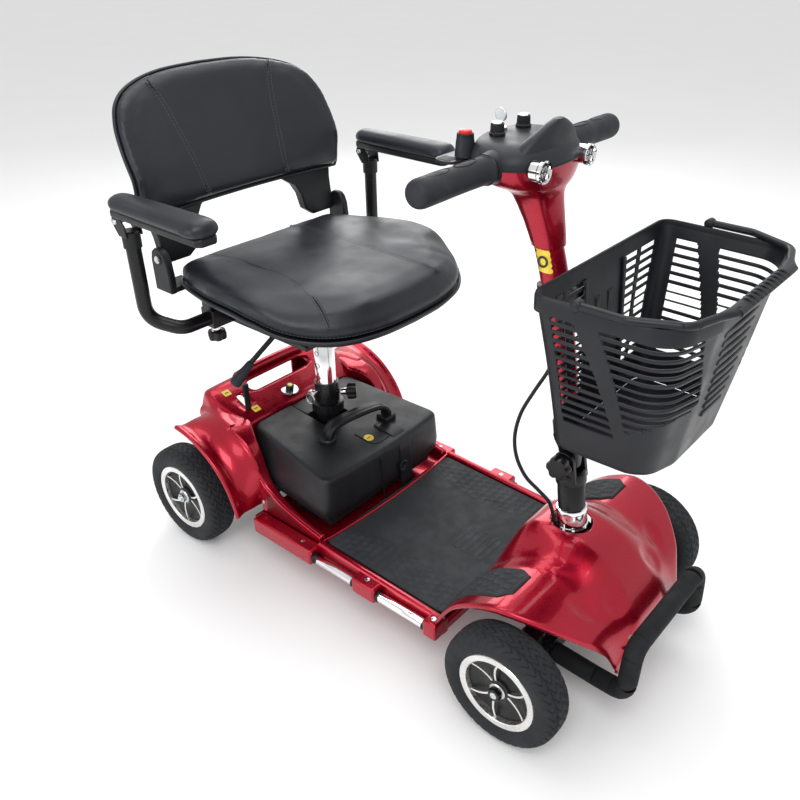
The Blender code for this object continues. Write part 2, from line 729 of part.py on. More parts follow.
def make_transaxle():
    gearbox = cylinder(
        "transaxle_motor", (-0.0550, REAR_AXLE_Y, WHEEL_RADIUS), (0.0550, REAR_AXLE_Y, WHEEL_RADIUS),
        0.0395, sides=24,
    )
    axle_tube = cylinder(
        "axle_tube", (-0.1700, REAR_AXLE_Y, WHEEL_RADIUS), (0.1700, REAR_AXLE_Y, WHEEL_RADIUS), 0.0165,
        sides=20,
    )
    motor = cylinder("drive_motor", (0.0900, 0.2400, 0.1180), (0.0900, 0.3600, 0.1180), 0.0330, sides=20)
    flange = box("gearbox_flange", (-0.0500, 0.3104, 0.0800), (0.0800, 0.3450, 0.1330))
    join(gearbox, axle_tube, motor, flange)
    bores = []
    for side, sign in SIDES:
        start, end = (sign * 0.1450, REAR_AXLE_Y, WHEEL_RADIUS), (sign * 0.1800, REAR_AXLE_Y, WHEEL_RADIUS)
        bores.append(cylinder("axle_bore_" + side, start, end, 0.0095))
    return cut(gearbox, *bores)


# ---------------------------------------------------------------- wheels and steering

def outwards(sign):
    return Vector((sign, 0.0, 0.0))


def make_tyre(name, body, sign, axle_y):
    half = TYRE_HALF_WIDTH
    inner = RIM_RADIUS + GAP
    profile = [
        (inner, 0.0225), (0.0790, half), (0.0910, half), (WHEEL_RADIUS, 0.0170),
        (WHEEL_RADIUS, -0.0170), (0.0910, -half), (0.0790, -half), (inner, -0.0225),
    ]
    centre = (sign * HALF_TRACK, axle_y, WHEEL_RADIUS)
    return turned(name, profile, centre, outwards(sign), body, "tyre_rubber", steps=28, ring=True)


def make_front_rim(name, body, sign):
    profile = [
        (0.0090, 0.0195), (0.0170, 0.0195), (0.0190, 0.0050), (0.0550, 0.0040), (0.0580, 0.0235), (
            RIM_RADIUS, 0.0235,
        ),
        (RIM_RADIUS, -0.0225), (0.0550, -0.0060), (0.0170, -0.0215), (0.0090, -0.0215),
    ]
    centre = (sign * HALF_TRACK, FRONT_AXLE_Y, WHEEL_RADIUS)
    return turned(name, profile, centre, outwards(sign), body, "machined_rim", steps=20, ring=True)


def make_rear_rim(name, body, sign):
    """The rear rim turns with its half shaft, whose nut shows at the hub."""
    profile = [
        (0.0, 0.0150), (0.0100, 0.0150), (0.0110, 0.0040), (0.0550, 0.0030), (0.0580, 0.0235),
        (RIM_RADIUS, 0.0235), (RIM_RADIUS, -0.0225), (0.0550, -0.0070), (0.0190, -0.0080),
        (0.0170, -0.0215), (0.0085, -0.0225), (0.0085, -0.0680), (0.0, -0.0680),
    ]
    centre = (sign * HALF_TRACK, REAR_AXLE_Y, WHEEL_RADIUS)
    return turned(name, profile, centre, outwards(sign), body, "machined_rim", steps=20)


def make_wheels():
    for side, sign in SIDES:
        make_tyre("front_tyre_" + side, "front_wheel_" + side, sign, FRONT_AXLE_Y)
        make_front_rim("front_rim_" + side, "front_wheel_" + side, sign)
        make_tyre("rear_tyre_" + side, "rear_wheel_" + side, sign, REAR_AXLE_Y)
        make_rear_rim("rear_rim_" + side, "rear_wheel_" + side, sign)
        profile = [
            (0.0040, 0.0080), (0.0200, 0.0080), (0.0240, 0.0045), (0.0240, -0.0045), (0.0200, -0.0080),
            (0.0040, -0.0080),
        ]
        centre = (sign * ANTI_TIP_X, ANTI_TIP_Y, ANTI_TIP_Z)
        name = "anti_tip_wheel_" + side
        turned(name, profile, centre, outwards(sign), name, "black_plastic", steps=20, ring=True)


def steering_arm(name, sign, body):
    """A flat link from the kingpin boss back to the tie rod's pin."""
    kingpin = Vector((sign * KINGPIN_X, FRONT_AXLE_Y, 0.0))
    pin = Vector((sign * TIE_PIN_X, TIE_ROD_Y, 0.0))
    along = (pin - kingpin).normalized()
    across = Vector((-along.y, along.x, 0.0)) * 0.0055
    corners = [
        kingpin - across, pin + along * 0.006 - across, pin + along * 0.006 + across, kingpin + across,
    ]
    rings = [[(point.x, point.y, z) for point in corners] for z in (0.0625, 0.0700)]
    return loft(name, rings, body, "zinc")


def make_knuckles():
    for side, sign in SIDES:
        body = "knuckle_" + side
        x = sign * KINGPIN_X
        boss = cylinder(
            "knuckle_" + side, (x, FRONT_AXLE_Y, 0.0604), (x, FRONT_AXLE_Y, 0.1396), 0.0115, body, "zinc",
        )
        spindle = cylinder(
            "spindle_" + side, (x, FRONT_AXLE_Y, 0.1), (sign * 0.2440, FRONT_AXLE_Y, 0.1), 0.0080, body,
            sides=16,
        )
        washer = cylinder(
            "hub_nut_" + side, (sign * 0.2375, FRONT_AXLE_Y, 0.1), (sign * 0.2470, FRONT_AXLE_Y, 0.1),
            0.0110, body, sides=6,
        )
        arm = steering_arm("steering_arm_" + side, sign, body)
        pin = cylinder(
            "tie_pin_" + side, (sign * TIE_PIN_X, TIE_ROD_Y, 0.0430),
            (sign * TIE_PIN_X, TIE_ROD_Y, 0.0650), 0.0035, body, sides=12,
        )
        join(boss, spindle, washer, arm, pin)


def make_tie_rod():
    low, high = 0.0450, 0.0530
    rod = box(
        "tie_rod", (-TIE_PIN_X, TIE_ROD_Y - 0.0045, low), (TIE_PIN_X, TIE_ROD_Y + 0.0045, high),
        "tie_rod", "zinc",
    )
    eyes = []
    holes = []
    for side, sign in SIDES:
        x = sign * TIE_PIN_X
        eyes.append(
            cylinder(
                "tie_eye_" + side, (x, TIE_ROD_Y, low), (x, TIE_ROD_Y, high), 0.0090, "tie_rod",
                sides=16,
            )
        )
        holes.append(
            cylinder(
                "tie_hole_" + side, (x, TIE_ROD_Y, low - 0.01), (x, TIE_ROD_Y, high + 0.01), 0.0041,
                "tie_rod", sides=16,
            )
        )
    return cut(join(rod, *eyes), *holes)


def stem_collar():
    """The bright clamp ring just above the cowl, as a tool that joins the stem."""
    profile = [
        (0.0, 0.0340), (0.0232, 0.0340), (0.0246, 0.0300), (0.0230, 0.0220), (0.0230, 0.0120),
        (0.0246, 0.0040), (0.0232, 0.0), (0.0, 0.0),
    ]
    return turned("stem_collar", profile, stem_point(0.2640), STEM_AXIS, "steering", "chrome", steps=24)


def make_steering_stem():
    """The steerer in the head tube, the lower tube with its bright collar, and the tilt yoke."""
    stem = cylinder(
        "steering_stem", stem_point(0.1900), stem_point(0.3400), STEM_RADIUS, "steering", "black_steel",
        20,
    )
    steerer = cylinder("steerer", stem_point(0.0430), stem_point(0.2000), 0.0122, "steering", sides=20)
    foot = stem_point(0.0430)
    pitman = box(
        "pitman_arm", (-0.0100, foot.y - 0.010, 0.0344), (0.0100, TIE_ROD_Y + 0.006, 0.0424), "steering",
    )
    parts = [steerer, pitman, stem_collar()]
    hinge = stem_point(TILT_Z)
    for side, sign in SIDES:
        near, far = sorted((sign * 0.0122, sign * 0.0190))
        parts.append(
            box(
                "yoke_" + side, (near, hinge.y - 0.0130, 0.3330),
                (far, hinge.y + 0.0130, TILT_Z + 0.0120), "steering",
            )
        )
    return join(stem, *parts)


# ---------------------------------------------------------------- tiller and head


def make_tiller_column():
    """The raked tube from the tilt hinge to the head, welded to the cross bar under the grips."""
    path = smooth_route(COLUMN_PATH, 0.030)
    lower = [point for point in path if point.z >= 0.3900]
    column = as_mesh(tube("tiller_column", lower, 0.0200, "tiller", "red_paint", resolution=3))
    hinge = stem_point(TILT_Z)
    tongue = box(
        "tongue", (-0.0118, hinge.y - 0.0125, TILT_Z - 0.0125), (0.0118, hinge.y + 0.0125, 0.4000),
        "tiller",
    )
    bar_start, bar_end = (-0.1900, BAR_Y, HEAD_Z), (0.1900, BAR_Y, HEAD_Z)
    bar = cylinder("cross_bar", bar_start, bar_end, 0.0110, "tiller", sides=16)
    block = box("bar_block", (-0.0140, -0.2420, 0.7700), (0.0140, BAR_Y + 0.010, HEAD_Z + 0.005), "tiller")
    return join(column, tongue, bar, block)


def head_ring(z, a, front, rear, count=20):
    """A level ring of the head: half width a, reaching from y front to y rear."""
    centre = (front + rear) / 2
    return oval((0.0, centre, z), a, (rear - front) / 2, count, 2.5)


def make_head_shells():
    rings = [
        head_ring(0.7020, 0.0240, -0.2815, -0.2325), head_ring(0.7300, 0.0275, -0.2745, -0.2195),
        head_ring(0.7560, 0.0330, -0.2690, -0.2040), head_ring(0.7660, 0.0560, -0.2720, -0.1880),
        head_ring(0.7780, 0.0750, -0.2740, -0.1700), head_ring(HEAD_Z - 0.0002, 0.0840, -0.2750, -0.1600),
    ]
    lower = loft("head_lower_shell", rings, "tiller", "red_paint")
    hollow = [
        head_ring(0.6900, 0.0206, -0.2830, -0.2390), head_ring(0.7300, 0.0240, -0.2715, -0.2225),
        head_ring(0.7580, 0.0300, -0.2660, -0.2070), head_ring(0.7690, 0.0520, -0.2690, -0.1915),
        head_ring(0.7800, 0.0700, -0.2710, -0.1735), head_ring(0.8100, 0.0800, -0.2720, -0.1640),
    ]
    cut(lower, loft("head_lower_hollow", hollow, "tiller", "red_paint"))
    rings = [
        head_ring(HEAD_Z + 0.0002, 0.0842, -0.2752, -0.1598), head_ring(0.8080, 0.0830, -0.2740, -0.1600),
        head_ring(0.8180, 0.0740, -0.2680, -0.1620), head_ring(0.8235, 0.0600, -0.2580, -0.1660),
    ]
    upper = loft("head_upper_shell", rings, "tiller", "grey_plastic")
    visor = [
        head_ring(0.8150, 0.0640, -0.2680, -0.2250), head_ring(0.8320, 0.0480, -0.2680, -0.2400),
        head_ring(0.8460, 0.0220, -0.2675, -0.2510), head_ring(0.8520, 0.0080, -0.2670, -0.2580),
    ]
    join(upper, loft("visor", visor, "tiller", "grey_plastic"))
    horn_cone = cylinder(
        "horn_cone", (-0.062, -0.163, 0.800), (-0.062, -0.163, 0.8290), 0.0135, "tiller", sides=16,
        end_radius=0.0075,
    )
    join(upper, horn_cone)
    hollow = [
        head_ring(0.7900, 0.0810, -0.2722, -0.1628), head_ring(0.8080, 0.0800, -0.2712, -0.1632),
        head_ring(0.8195, 0.0580, -0.2560, -0.1685),
    ]
    cut(upper, loft("head_upper_hollow", hollow, "tiller", "grey_plastic"))
    for shell_part in (lower, upper):
        tag = "_" + shell_part.name
        cutters = [
            cylinder(
                "bar_way" + tag, (-0.2, BAR_Y, HEAD_Z), (0.2, BAR_Y, HEAD_Z), 0.0114, "tiller",
                sides=16,
            )
        ]
        cutters.append(
            box(
                "paddle_way" + tag, (-0.0800, -0.1950, HEAD_Z - 0.0042),
                (0.0800, -0.1400, HEAD_Z + 0.0042), "tiller",
            )
        )
        for side, sign in SIDES:
            x = sign * HEADLIGHT_X
            cutters.append(
                cylinder(
                    f"lamp_way_{side}{tag}", (x, -0.240, HEAD_Z), (x, -0.290, HEAD_Z),
                    HEADLIGHT_RADIUS + GAP, "tiller", sides=20,
                )
            )
        cut(shell_part, *cutters)
    button_way = cylinder(
        "button_way", (-0.062, -0.163, 0.8200), (-0.062, -0.163, 0.8400), 0.0060, "tiller", sides=16,
    )
    cut(upper, button_way)


def make_head_parts():
    for side, sign in SIDES:
        start = (sign * 0.0875, BAR_Y, HEAD_Z)
        profile = [
            (0.0, 0.1410), (0.0120, 0.1405), (0.0160, 0.1370), (GRIP_RADIUS, 0.1280),
            (GRIP_RADIUS, 0.0060), (0.0168, 0.0), (0.0114, 0.0), (0.0114, 0.1040), (0.0, 0.1040),
        ]
        turned("grip_" + side, profile, start, outwards(sign), "tiller", "grey_plastic", steps=20)
        x = sign * HEADLIGHT_X
        profile = [
            (0.0, 0.0050), (0.0100, 0.0040), (0.0110, 0.0060), (HEADLIGHT_RADIUS, 0.0060),
            (HEADLIGHT_RADIUS, -0.0180), (0.0, -0.0180),
        ]
        turned(
            "headlight_" + side, profile, (x, -0.2760, HEAD_Z), (0, -1, 0), "tiller", "chrome",
            steps=20,
        )
    for name in ("speed_knob", "light_knob"):
        profile = [(0.0, 0.0180), (0.0070, 0.0180), (0.0082, 0.0165), (0.0085, 0.0), (0.0, 0.0)]
        x, y, z = HEAD_CONTROLS[name]
        turned(name, profile, (x, y, z - 0.0012), (0, 0, 1), name, "black_plastic", steps=20)
    x, y, z = HEAD_CONTROLS["key"]
    barrel = cylinder("ignition_key", (x, y, z - 0.0021), (x, y, z + 0.0060), 0.0060, "key", "zinc", 16)
    bow = cylinder(
        "key_bow", (x - 0.0012, y, z + 0.0140), (x + 0.0012, y, z + 0.0140), 0.0105, "key", "zinc", 16,
    )
    join(barrel, bow)
    x, y, z = HEAD_CONTROLS["horn_button"]
    profile = [(0.0, 0.0080), (0.0040, 0.0078), (0.0054, 0.0060), (0.0054, -0.0060), (0.0, -0.0060)]
    turned("horn_button", profile, (x, y, z), (0, 0, 1), "horn_button", "red_button", steps=16)


def make_throttle_paddle():
    """A thin bow that both thumbs or fingers reach, turning on an upright pin in the head."""
    half = [
        (0.0, -0.1600), (0.030, -0.1580), (0.060, -0.1480), (0.084, -0.1420), (0.096, -0.1400),
        (0.098, -0.1330), (0.090, -0.1290), (0.060, -0.1300), (0.030, -0.1380), (0.0, -0.1420),
    ]
    outline = half + [(-x, y) for x, y in half[-2:0:-1]]
    z = HEAD_Z
    paddle = plate("throttle_paddle", outline, z - 0.0020, z + 0.0020, "throttle", "black_plastic")
    shank = box("paddle_shank", (-0.0120, -0.1760, z - 0.0018), (0.0120, -0.1500, z + 0.0018), "throttle")
    return join(paddle, shank)


def make_tilt_knob():
    hinge = stem_point(TILT_Z)
    profile = [
        (0.0, 0.0230), (0.0150, 0.0220), (0.0190, 0.0180), (0.0190, 0.0060), (0.0120, 0.0020),
        (0.0050, 0.0), (0.0, 0.0),
    ]
    base = (-0.0194, hinge.y, hinge.z)
    return turned("tilt_knob", profile, base, (-1, 0, 0), "tilt_knob", "black_plastic", steps=16)


# ---------------------------------------------------------------- basket

def basket_ring(z, half, back, front, inset=0.0, count=8):
    """A level D: straight at the back, with round front corners."""
    half, back, front = half - inset, back - inset, front + inset
    corner = min(0.75 * half, 0.7 * (back - front))
    points = [Vector((-half, back, z)), Vector((half, back, z))]
    for sign in (1, -1):
        for i in range(count + 1):
            angle = math.pi / 2 * (i / count if sign > 0 else 1 - i / count)
            x = half - corner + corner * math.cos(angle)
            y = front + corner * 0.8 - corner * 0.8 * math.sin(angle)
            points.append(Vector((sign * x, y, z)))
    return points


def make_basket():
    outer = [
        basket_ring(0.4650, 0.118, -0.3600, -0.5050), basket_ring(0.5800, 0.1430, -0.3530, -0.5240),
        basket_ring(0.6700, 0.166, -0.3470, -0.5370),
    ]
    basket = loft("basket", outer, "basket", "black_plastic")
    rim = loft(
        "basket_rim",
        [basket_ring(0.6680, 0.170, -0.3440, -0.5410), basket_ring(0.6950, 0.174, -0.3430, -0.5430)],
        "basket", "black_plastic",
    )
    join(basket, rim)
    inner = [
        basket_ring(0.4680, 0.118, -0.3600, -0.5050, 0.0030),
        basket_ring(0.5800, 0.1430, -0.3530, -0.5240, 0.0030),
        basket_ring(0.7200, 0.1745, -0.3440, -0.5430, 0.0032),
    ]
    cut(basket, loft("basket_hollow", inner, "basket", "black_plastic"))
    hooks = box(
        "basket_hook", (-0.0240, -0.3520, 0.6000), (0.0240, -0.3320, 0.6400), "basket", "black_plastic",
    )
    return join(basket, hooks)


def make_basket_bail():
    """The carry handle, lying on the rim: pivots at both sides and goes round the front."""
    half = [
        (0.1785, BAIL_Y, BAIL_Z), (0.1785, -0.4700, BAIL_Z), (0.1500, -0.5320, BAIL_Z),
        (0.0800, -0.5530, BAIL_Z),
    ]
    right = [(-x, y, z) for x, y, z in half]
    path = filleted(right + half[::-1], 0.045, 4)
    return tube("basket_bail", path, 0.0048, "bail", "black_plastic", resolution=2)


def make_basket_bracket():
    """The holder clamped round the column, with the slot that the basket's hook drops into."""
    clamp = box(
        "basket_bracket", (-0.0300, -0.3305, 0.5900), (0.0300, -0.2950, 0.6460), "tiller",
        "black_plastic",
    )
    ring = cylinder(
        "bracket_ring", (0.0, -0.2870, 0.5960), (0.0, -0.2775, 0.6420), 0.0270, "tiller", sides=20,
    )
    latch = box("bracket_latch", (-0.0120, -0.3000, 0.6400), (0.0120, -0.2900, 0.6680), "tiller")
    join(clamp, ring, latch)
    bore = as_mesh(
        tube(
            "bracket_bore", [p for p in smooth_route(COLUMN_PATH, 0.030) if 0.5 < p.z < 0.72], 0.0204,
            "tiller", resolution=3,
        )
    )
    return cut(clamp, bore)


def make_control_cable():
    """The loom from the tiller to the chassis, bowing out behind the column."""
    route = [
        (-0.0260, -0.3020, 0.5400), (-0.0270, -0.2900, 0.5100), (-0.0280, -0.2700, 0.4700),
        (-0.0300, -0.2520, 0.4280), (-0.0300, -0.2440, 0.3850), (-0.0290, -0.2490, 0.3480),
        (-0.0270, -0.2660, 0.3180), (-0.0230, -0.2880, 0.3000), (-0.0190, -0.3050, 0.2850),
        (-0.0165, -0.3120, 0.2680), (-0.0150, -0.3170, 0.2450), (-0.0145, -0.3200, 0.2150),
    ]
    return tube(
        "control_cable", smooth_route(route, 0.014), 0.0029, "steering", "black_plastic", resolution=1,
    )


# ---------------------------------------------------------------- seat

def make_post_tube():
    outer, inner = 0.0229, POST_RADIUS + GAP
    profile = [
        (inner, 0.3120), (outer, 0.3120), (outer, 0.2760), (0.0300, 0.2700), (0.0300, 0.2520), (
            outer, 0.2440,
        ),
        (outer, 0.0844), (inner, 0.0844),
    ]
    post = turned(
        "post_tube", profile, (0, POST_Y, 0), (0, 0, 1), "root", "black_steel", steps=24, ring=True,
    )
    x, y, z = HEIGHT_PIN_AT
    return cut(post, cylinder("pin_hole", (x + 0.004, y, z), (x - 0.010, y, z), 0.0041, sides=12))


def make_seat_post():
    post = cylinder(
        "seat_post", (0, POST_Y, 0.1400), (0, POST_Y, 0.4390), POST_RADIUS, "seat_post", "chrome", 24,
    )
    holes = []
    for number, z in enumerate((0.3250, 0.3500, 0.3750, 0.4000)):
        holes.append(
            cylinder(
                f"height_hole_{number}", (-0.03, POST_Y, z), (0.03, POST_Y, z), 0.0042, "seat_post",
                sides=10,
            )
        )
    return cut(post, *holes)


def make_post_knob():
    """A star knob on the clamp screw that steadies the post."""
    x, y, z = POST_KNOB_AT
    direction = Vector((0.70, -0.71, 0.0))
    knob = turned(
        "post_knob", star_profile(), (x, y, z), direction, "post_knob", "black_plastic", steps=10,
    )
    return knob


def star_profile():
    return [
        (0.0, 0.0260), (0.0090, 0.0255), (0.0155, 0.0230), (0.0155, 0.0140), (0.0060, 0.0110),
        (0.0050, 0.0), (0.0, 0.0),
    ]


def make_height_pin():
    """The ring pin that locks the post's height, reaching through the outer tube's wall."""
    x, y, z = HEIGHT_PIN_AT
    pin = cylinder("height_pin", (x, y, z), (x - 0.0240, y, z), 0.0036, "height_pin", "zinc", 12)
    knob = cylinder("pin_knob", (x - 0.0100, y, z), (x - 0.0230, y, z), 0.0075, "height_pin", sides=14)
    ring_points = []
    for i in range(16):
        angle = 2 * math.pi * i / 16
        ring_points.append(
            (x - 0.0230, y + 0.0100 * math.sin(angle), z - 0.0085 + 0.0100 * math.cos(angle))
        )
    ring = as_mesh(tube("pin_ring", ring_points, 0.0011, "height_pin", resolution=1, cyclic=True))
    return join(pin, knob, ring)


def seat_outline(inset=0.0):
    half = [(x * (1 - inset / 0.2), 0.2 + (y - 0.2) * (1 - inset / 0.16)) for x, y in SEAT_OUTLINE]
    return half + [(-x, y) for x, y in half[-2:0:-1]]


def make_seat():
    hub = cylinder(
        "seat_frame", (0, POST_Y, 0.4394), (0, POST_Y, 0.4600), 0.0320, "seat", "black_steel", 20,
    )
    plate_part = box("seat_plate", (-0.1300, 0.1000, 0.4550), (0.1300, 0.2950, 0.4640), "seat")
    receiver = box(
        "arm_receiver", (-0.1800, ARM_BAR_Y - 0.0155, 0.4632),
        (0.1800, ARM_BAR_Y + 0.0155, SEAT_UNDER_Z - GAP), "seat",
    )
    riser = box("front_riser", (-0.1100, 0.1050, 0.4620), (0.1100, 0.1350, SEAT_UNDER_Z - GAP), "seat")
    join(hub, plate_part, receiver, riser)
    bore = cylinder(
        "receiver_bore", (-0.2, ARM_BAR_Y, ARM_BAR_Z), (0.2, ARM_BAR_Y, ARM_BAR_Z),
        ARM_TUBE_RADIUS + 0.0006, "seat", sides=16,
    )
    cut(hub, bore)
    pan = plate(
        "seat_shell", seat_outline(0.004), SEAT_UNDER_Z, SEAT_UNDER_Z + 0.0088, "seat", "black_plastic",
    )
    ears = []
    for side, sign in SIDES:
        near, far = sorted((sign * 0.1990, sign * 0.2120))
        foot_near, foot_far = sorted((sign * 0.1600, sign * 0.2120))
        ears.append(box("back_ear_" + side, (near, 0.3280, SEAT_UNDER_Z), (far, 0.3720, 0.5950), "seat"))
        ears.append(
            box(
                "back_ear_foot_" + side, (foot_near, 0.3280, SEAT_UNDER_Z),
                (foot_far, 0.3720, SEAT_UNDER_Z + 0.0088), "seat",
            )
        )
    join(pan, *ears)
    return plate("seat_cushion", seat_outline(), SEAT_UNDER_Z + 0.0094, SEAT_TOP_Z, "seat", "leather")


def back_front(x, z):
    """The front of the back pad, which wraps round the rider and leans back."""
    t = min(max((z - 0.6500) / 0.0700, 0.0), 1.0)
    wrap = 0.016 + 0.026 * t * t * (3 - 2 * t)
    return 0.3600 + 0.44 * (z - 0.6520) - wrap * (x / 0.2225) ** 2


def make_seat_back():
    """A curved plastic back shell on two side legs, and the leather pad on its front."""
    rows = []
    pad_rows = []
    for z, half in BACK_OUTLINE:
        across = [half * (-1 + j / 4) for j in range(9)]
        pad_rows.append([(x, back_front(x, z), z) for x in across])
        rows.append([(x, back_front(x, z) + 0.0330, z) for x in across])
    back = shell("back_shell", rows, "seat_back", "black_plastic", 0.0040, (0, 1, 0))
    pad = shell("back_pad", pad_rows, "seat_back", "leather", 0.0240, (0, -1, 0))
    pieces = []
    for side, sign in SIDES:
        levels = []
        for z, inner, outer, front, rear in (
            (0.5620, 0.1420, 0.1970, 0.3570, 0.3720), (0.5900, 0.1280, 0.1970, 0.3575, 0.3760),
            (0.6200, 0.1220, 0.2000, 0.3640, 0.3840),
        ):
            levels.append(
                [
                    (sign * inner, front, z), (sign * outer, front, z), (sign * outer, rear, z),
                    (sign * inner, rear, z),
                ]
            )
        for z, inner, outer in ((0.6440, 0.1020, 0.2030), (0.6700, 0.0900, 0.2030)):
            a, b = (sign * inner, back_front(inner, z)), (sign * outer, back_front(outer, z))
            levels.append(
                [
                    (a[0], a[1] + 0.0290, z), (b[0], b[1] + 0.0290, z), (b[0], b[1] + 0.0385, z),
                    (a[0], a[1] + 0.0385, z),
                ]
            )
        if sign < 0:
            levels = [level[::-1] for level in levels]
        pieces.append(loft("back_leg_" + side, levels, "seat_back", "black_plastic"))
    join(back, *pieces)
    return back, pad


def make_arms():
    for side, sign in SIDES:
        body = "arm_" + side
        path = filleted(
            [
                (sign * 0.1250, ARM_BAR_Y, ARM_BAR_Z), (sign * 0.2300, ARM_BAR_Y, ARM_BAR_Z),
                (sign * ARM_X, ARM_Y, 0.500), (sign * ARM_X, ARM_Y, 0.6500),
            ],
            0.040,
        )
        tube("arm_tube_" + side, path, ARM_TUBE_RADIUS, body, "black_steel", resolution=3)
        pad_body = "arm_pad_" + side
        rings = []
        for y, half, top in (
            (0.3480, 0.020, 0.688), (0.3300, 0.027, 0.700), (0.2400, 0.030, 0.708),
            (0.1700, 0.028, 0.704), (0.1180, 0.020, 0.688),
        ):
            x = sign * ARM_X
            rings.append(
                [
                    (x - half, y, 0.6660), (x + half, y, 0.6660), (x + half, y, top - 0.012),
                    (x + half * 0.6, y, top), (x - half * 0.6, y, top), (x - half, y, top - 0.012),
                ]
            )
        loft("arm_pad_" + side, rings, pad_body, "leather")
        knob_body = "arm_knob_" + side
        turned(
            "arm_knob_" + side, star_profile(), (sign * ARM_KNOB_X, ARM_BAR_Y, ARM_KNOB_Z), (0, 0, -1),
            knob_body, "black_plastic", steps=10,
        )


def make_swivel_lever():
    route = [
        (-0.0700, 0.2140, 0.4480), SWIVEL_LEVER_PIVOT, (-0.1290, 0.2380, 0.3980),
        (-0.1700, 0.2440, 0.3640),
    ]
    rod = as_mesh(
        tube(
            "swivel_lever", [Vector(p) for p in route], 0.0045, "swivel_lever", "black_steel",
            resolution=2,
        )
    )
    start, end = Vector(route[2]), Vector(route[3])
    grip = cylinder(
        "lever_grip", start, end + (end - start).normalized() * 0.012, 0.0105, "swivel_lever", sides=14,
    )
    return join(rod, grip)


def make_freewheel_lever():
    x, y, z = FREEWHEEL_PIVOT
    return box(
        "freewheel_lever", (x - 0.0060, y - 0.0020, 0.2000), (x + 0.0060, y + 0.0020, 0.3050),
        "freewheel_lever", "zinc", bevel=0.001,
    )


# ---------------------------------------------------------------- build

def main():
    clear_scene()
    make_collections()
    make_materials()
    make_bodies()
    make_main_frame()
    make_floor_pan()
    make_side_tubes()
    make_front_cowl()
    make_floor_mat()
    make_front_bumper()
    make_rear_cover()
    make_battery_case()
    make_battery_pack()
    make_controller()
    make_transaxle()
    make_wheels()
    make_knuckles()
    make_tie_rod()
    make_steering_stem()
    make_tiller_column()
    make_head_shells()
    make_head_parts()
    make_throttle_paddle()
    make_tilt_knob()
    make_basket()
    make_basket_bail()
    make_basket_bracket()
    make_control_cable()
    make_post_tube()
    make_seat_post()
    make_post_knob()
    make_height_pin()
    make_seat()
    make_seat_back()
    make_arms()
    make_swivel_lever()
    make_freewheel_lever()


main()
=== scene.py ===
"""Looks of the mobility scooter: every visible surface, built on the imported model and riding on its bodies."""
import bmesh
import bpy
import json
import math
from mathutils import Matrix, Vector

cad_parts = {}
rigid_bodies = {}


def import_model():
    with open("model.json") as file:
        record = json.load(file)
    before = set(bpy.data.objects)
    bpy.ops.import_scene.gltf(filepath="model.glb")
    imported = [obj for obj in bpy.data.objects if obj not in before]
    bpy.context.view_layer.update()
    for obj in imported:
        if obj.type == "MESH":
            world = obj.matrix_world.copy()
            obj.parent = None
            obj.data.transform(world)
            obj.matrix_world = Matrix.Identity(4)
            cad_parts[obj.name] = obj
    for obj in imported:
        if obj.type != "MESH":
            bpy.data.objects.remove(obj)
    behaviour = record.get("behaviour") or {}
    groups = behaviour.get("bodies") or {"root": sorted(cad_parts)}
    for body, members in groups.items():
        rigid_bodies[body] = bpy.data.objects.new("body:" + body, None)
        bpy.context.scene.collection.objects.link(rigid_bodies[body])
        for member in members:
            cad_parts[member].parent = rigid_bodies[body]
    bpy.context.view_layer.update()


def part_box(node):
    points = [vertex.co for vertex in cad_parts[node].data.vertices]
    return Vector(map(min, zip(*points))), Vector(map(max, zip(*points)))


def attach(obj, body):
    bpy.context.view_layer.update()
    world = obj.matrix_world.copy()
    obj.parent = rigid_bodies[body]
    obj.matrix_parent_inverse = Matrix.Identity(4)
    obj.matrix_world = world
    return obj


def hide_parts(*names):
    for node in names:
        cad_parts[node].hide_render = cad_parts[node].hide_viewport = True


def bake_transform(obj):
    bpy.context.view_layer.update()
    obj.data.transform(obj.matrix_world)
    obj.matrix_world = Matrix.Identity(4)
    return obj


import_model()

# Design places are written with the origin under the middle of the wheelbase.
# The seat post stands 0.2 m behind that origin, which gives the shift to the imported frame.
POST_Y = 0.2
post_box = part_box("post_tube")
SHIFT = Vector((0.0, (post_box[0].y + post_box[1].y) / 2 - POST_Y, 0.0))
SIDES = (("right", -1), ("left", 1))
WHEEL_RADIUS = 0.1
HALF_TRACK = 0.2175
FRONT_AXLE_Y, REAR_AXLE_Y = -0.3725, 0.3657
STEM_AT_DECK = Vector((0.0, -0.34, 0.249))
STEM_AXIS = Vector((0.0, 0.117, 0.9931)).normalized()
HEAD_Z, HEAD_TOP_Z = 0.797, 0.825
BAR_Y = -0.216
HORN_PLACE = (-0.062, -0.163)
KEY_PLACE = (0, -0.174)
KNOB_Y = -0.19
ARM_X, ARM_Y = 0.2695, 0.321
ARM_BAR_Y, ARM_BAR_Z = 0.285, 0.479
BACK_HINGE = (0.352, 0.577)


def mm(*rows):
    """Tables of places and sizes are written in millimetres."""
    return [tuple(value / 1000 for value in row) for row in rows]


def at(*place):
    """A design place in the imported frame."""
    return Vector(place) + SHIFT


def stem_point(z):
    """The place on the steering axis at a height."""
    return STEM_AT_DECK + STEM_AXIS * ((z - STEM_AT_DECK.z) / STEM_AXIS.z)


def deck_z(y):
    """The top of the floor mat."""
    return 0.108 + (y + 0.2) * 0.037


def around(step, steps):
    """The angle after some of the steps that make up a whole turn."""
    return 2 * math.pi * step / steps


def ease(t):
    """0 to 1 with a soft start and end."""
    t = min(max(t, 0.0), 1.0)
    return t * t * (3 - 2 * t)


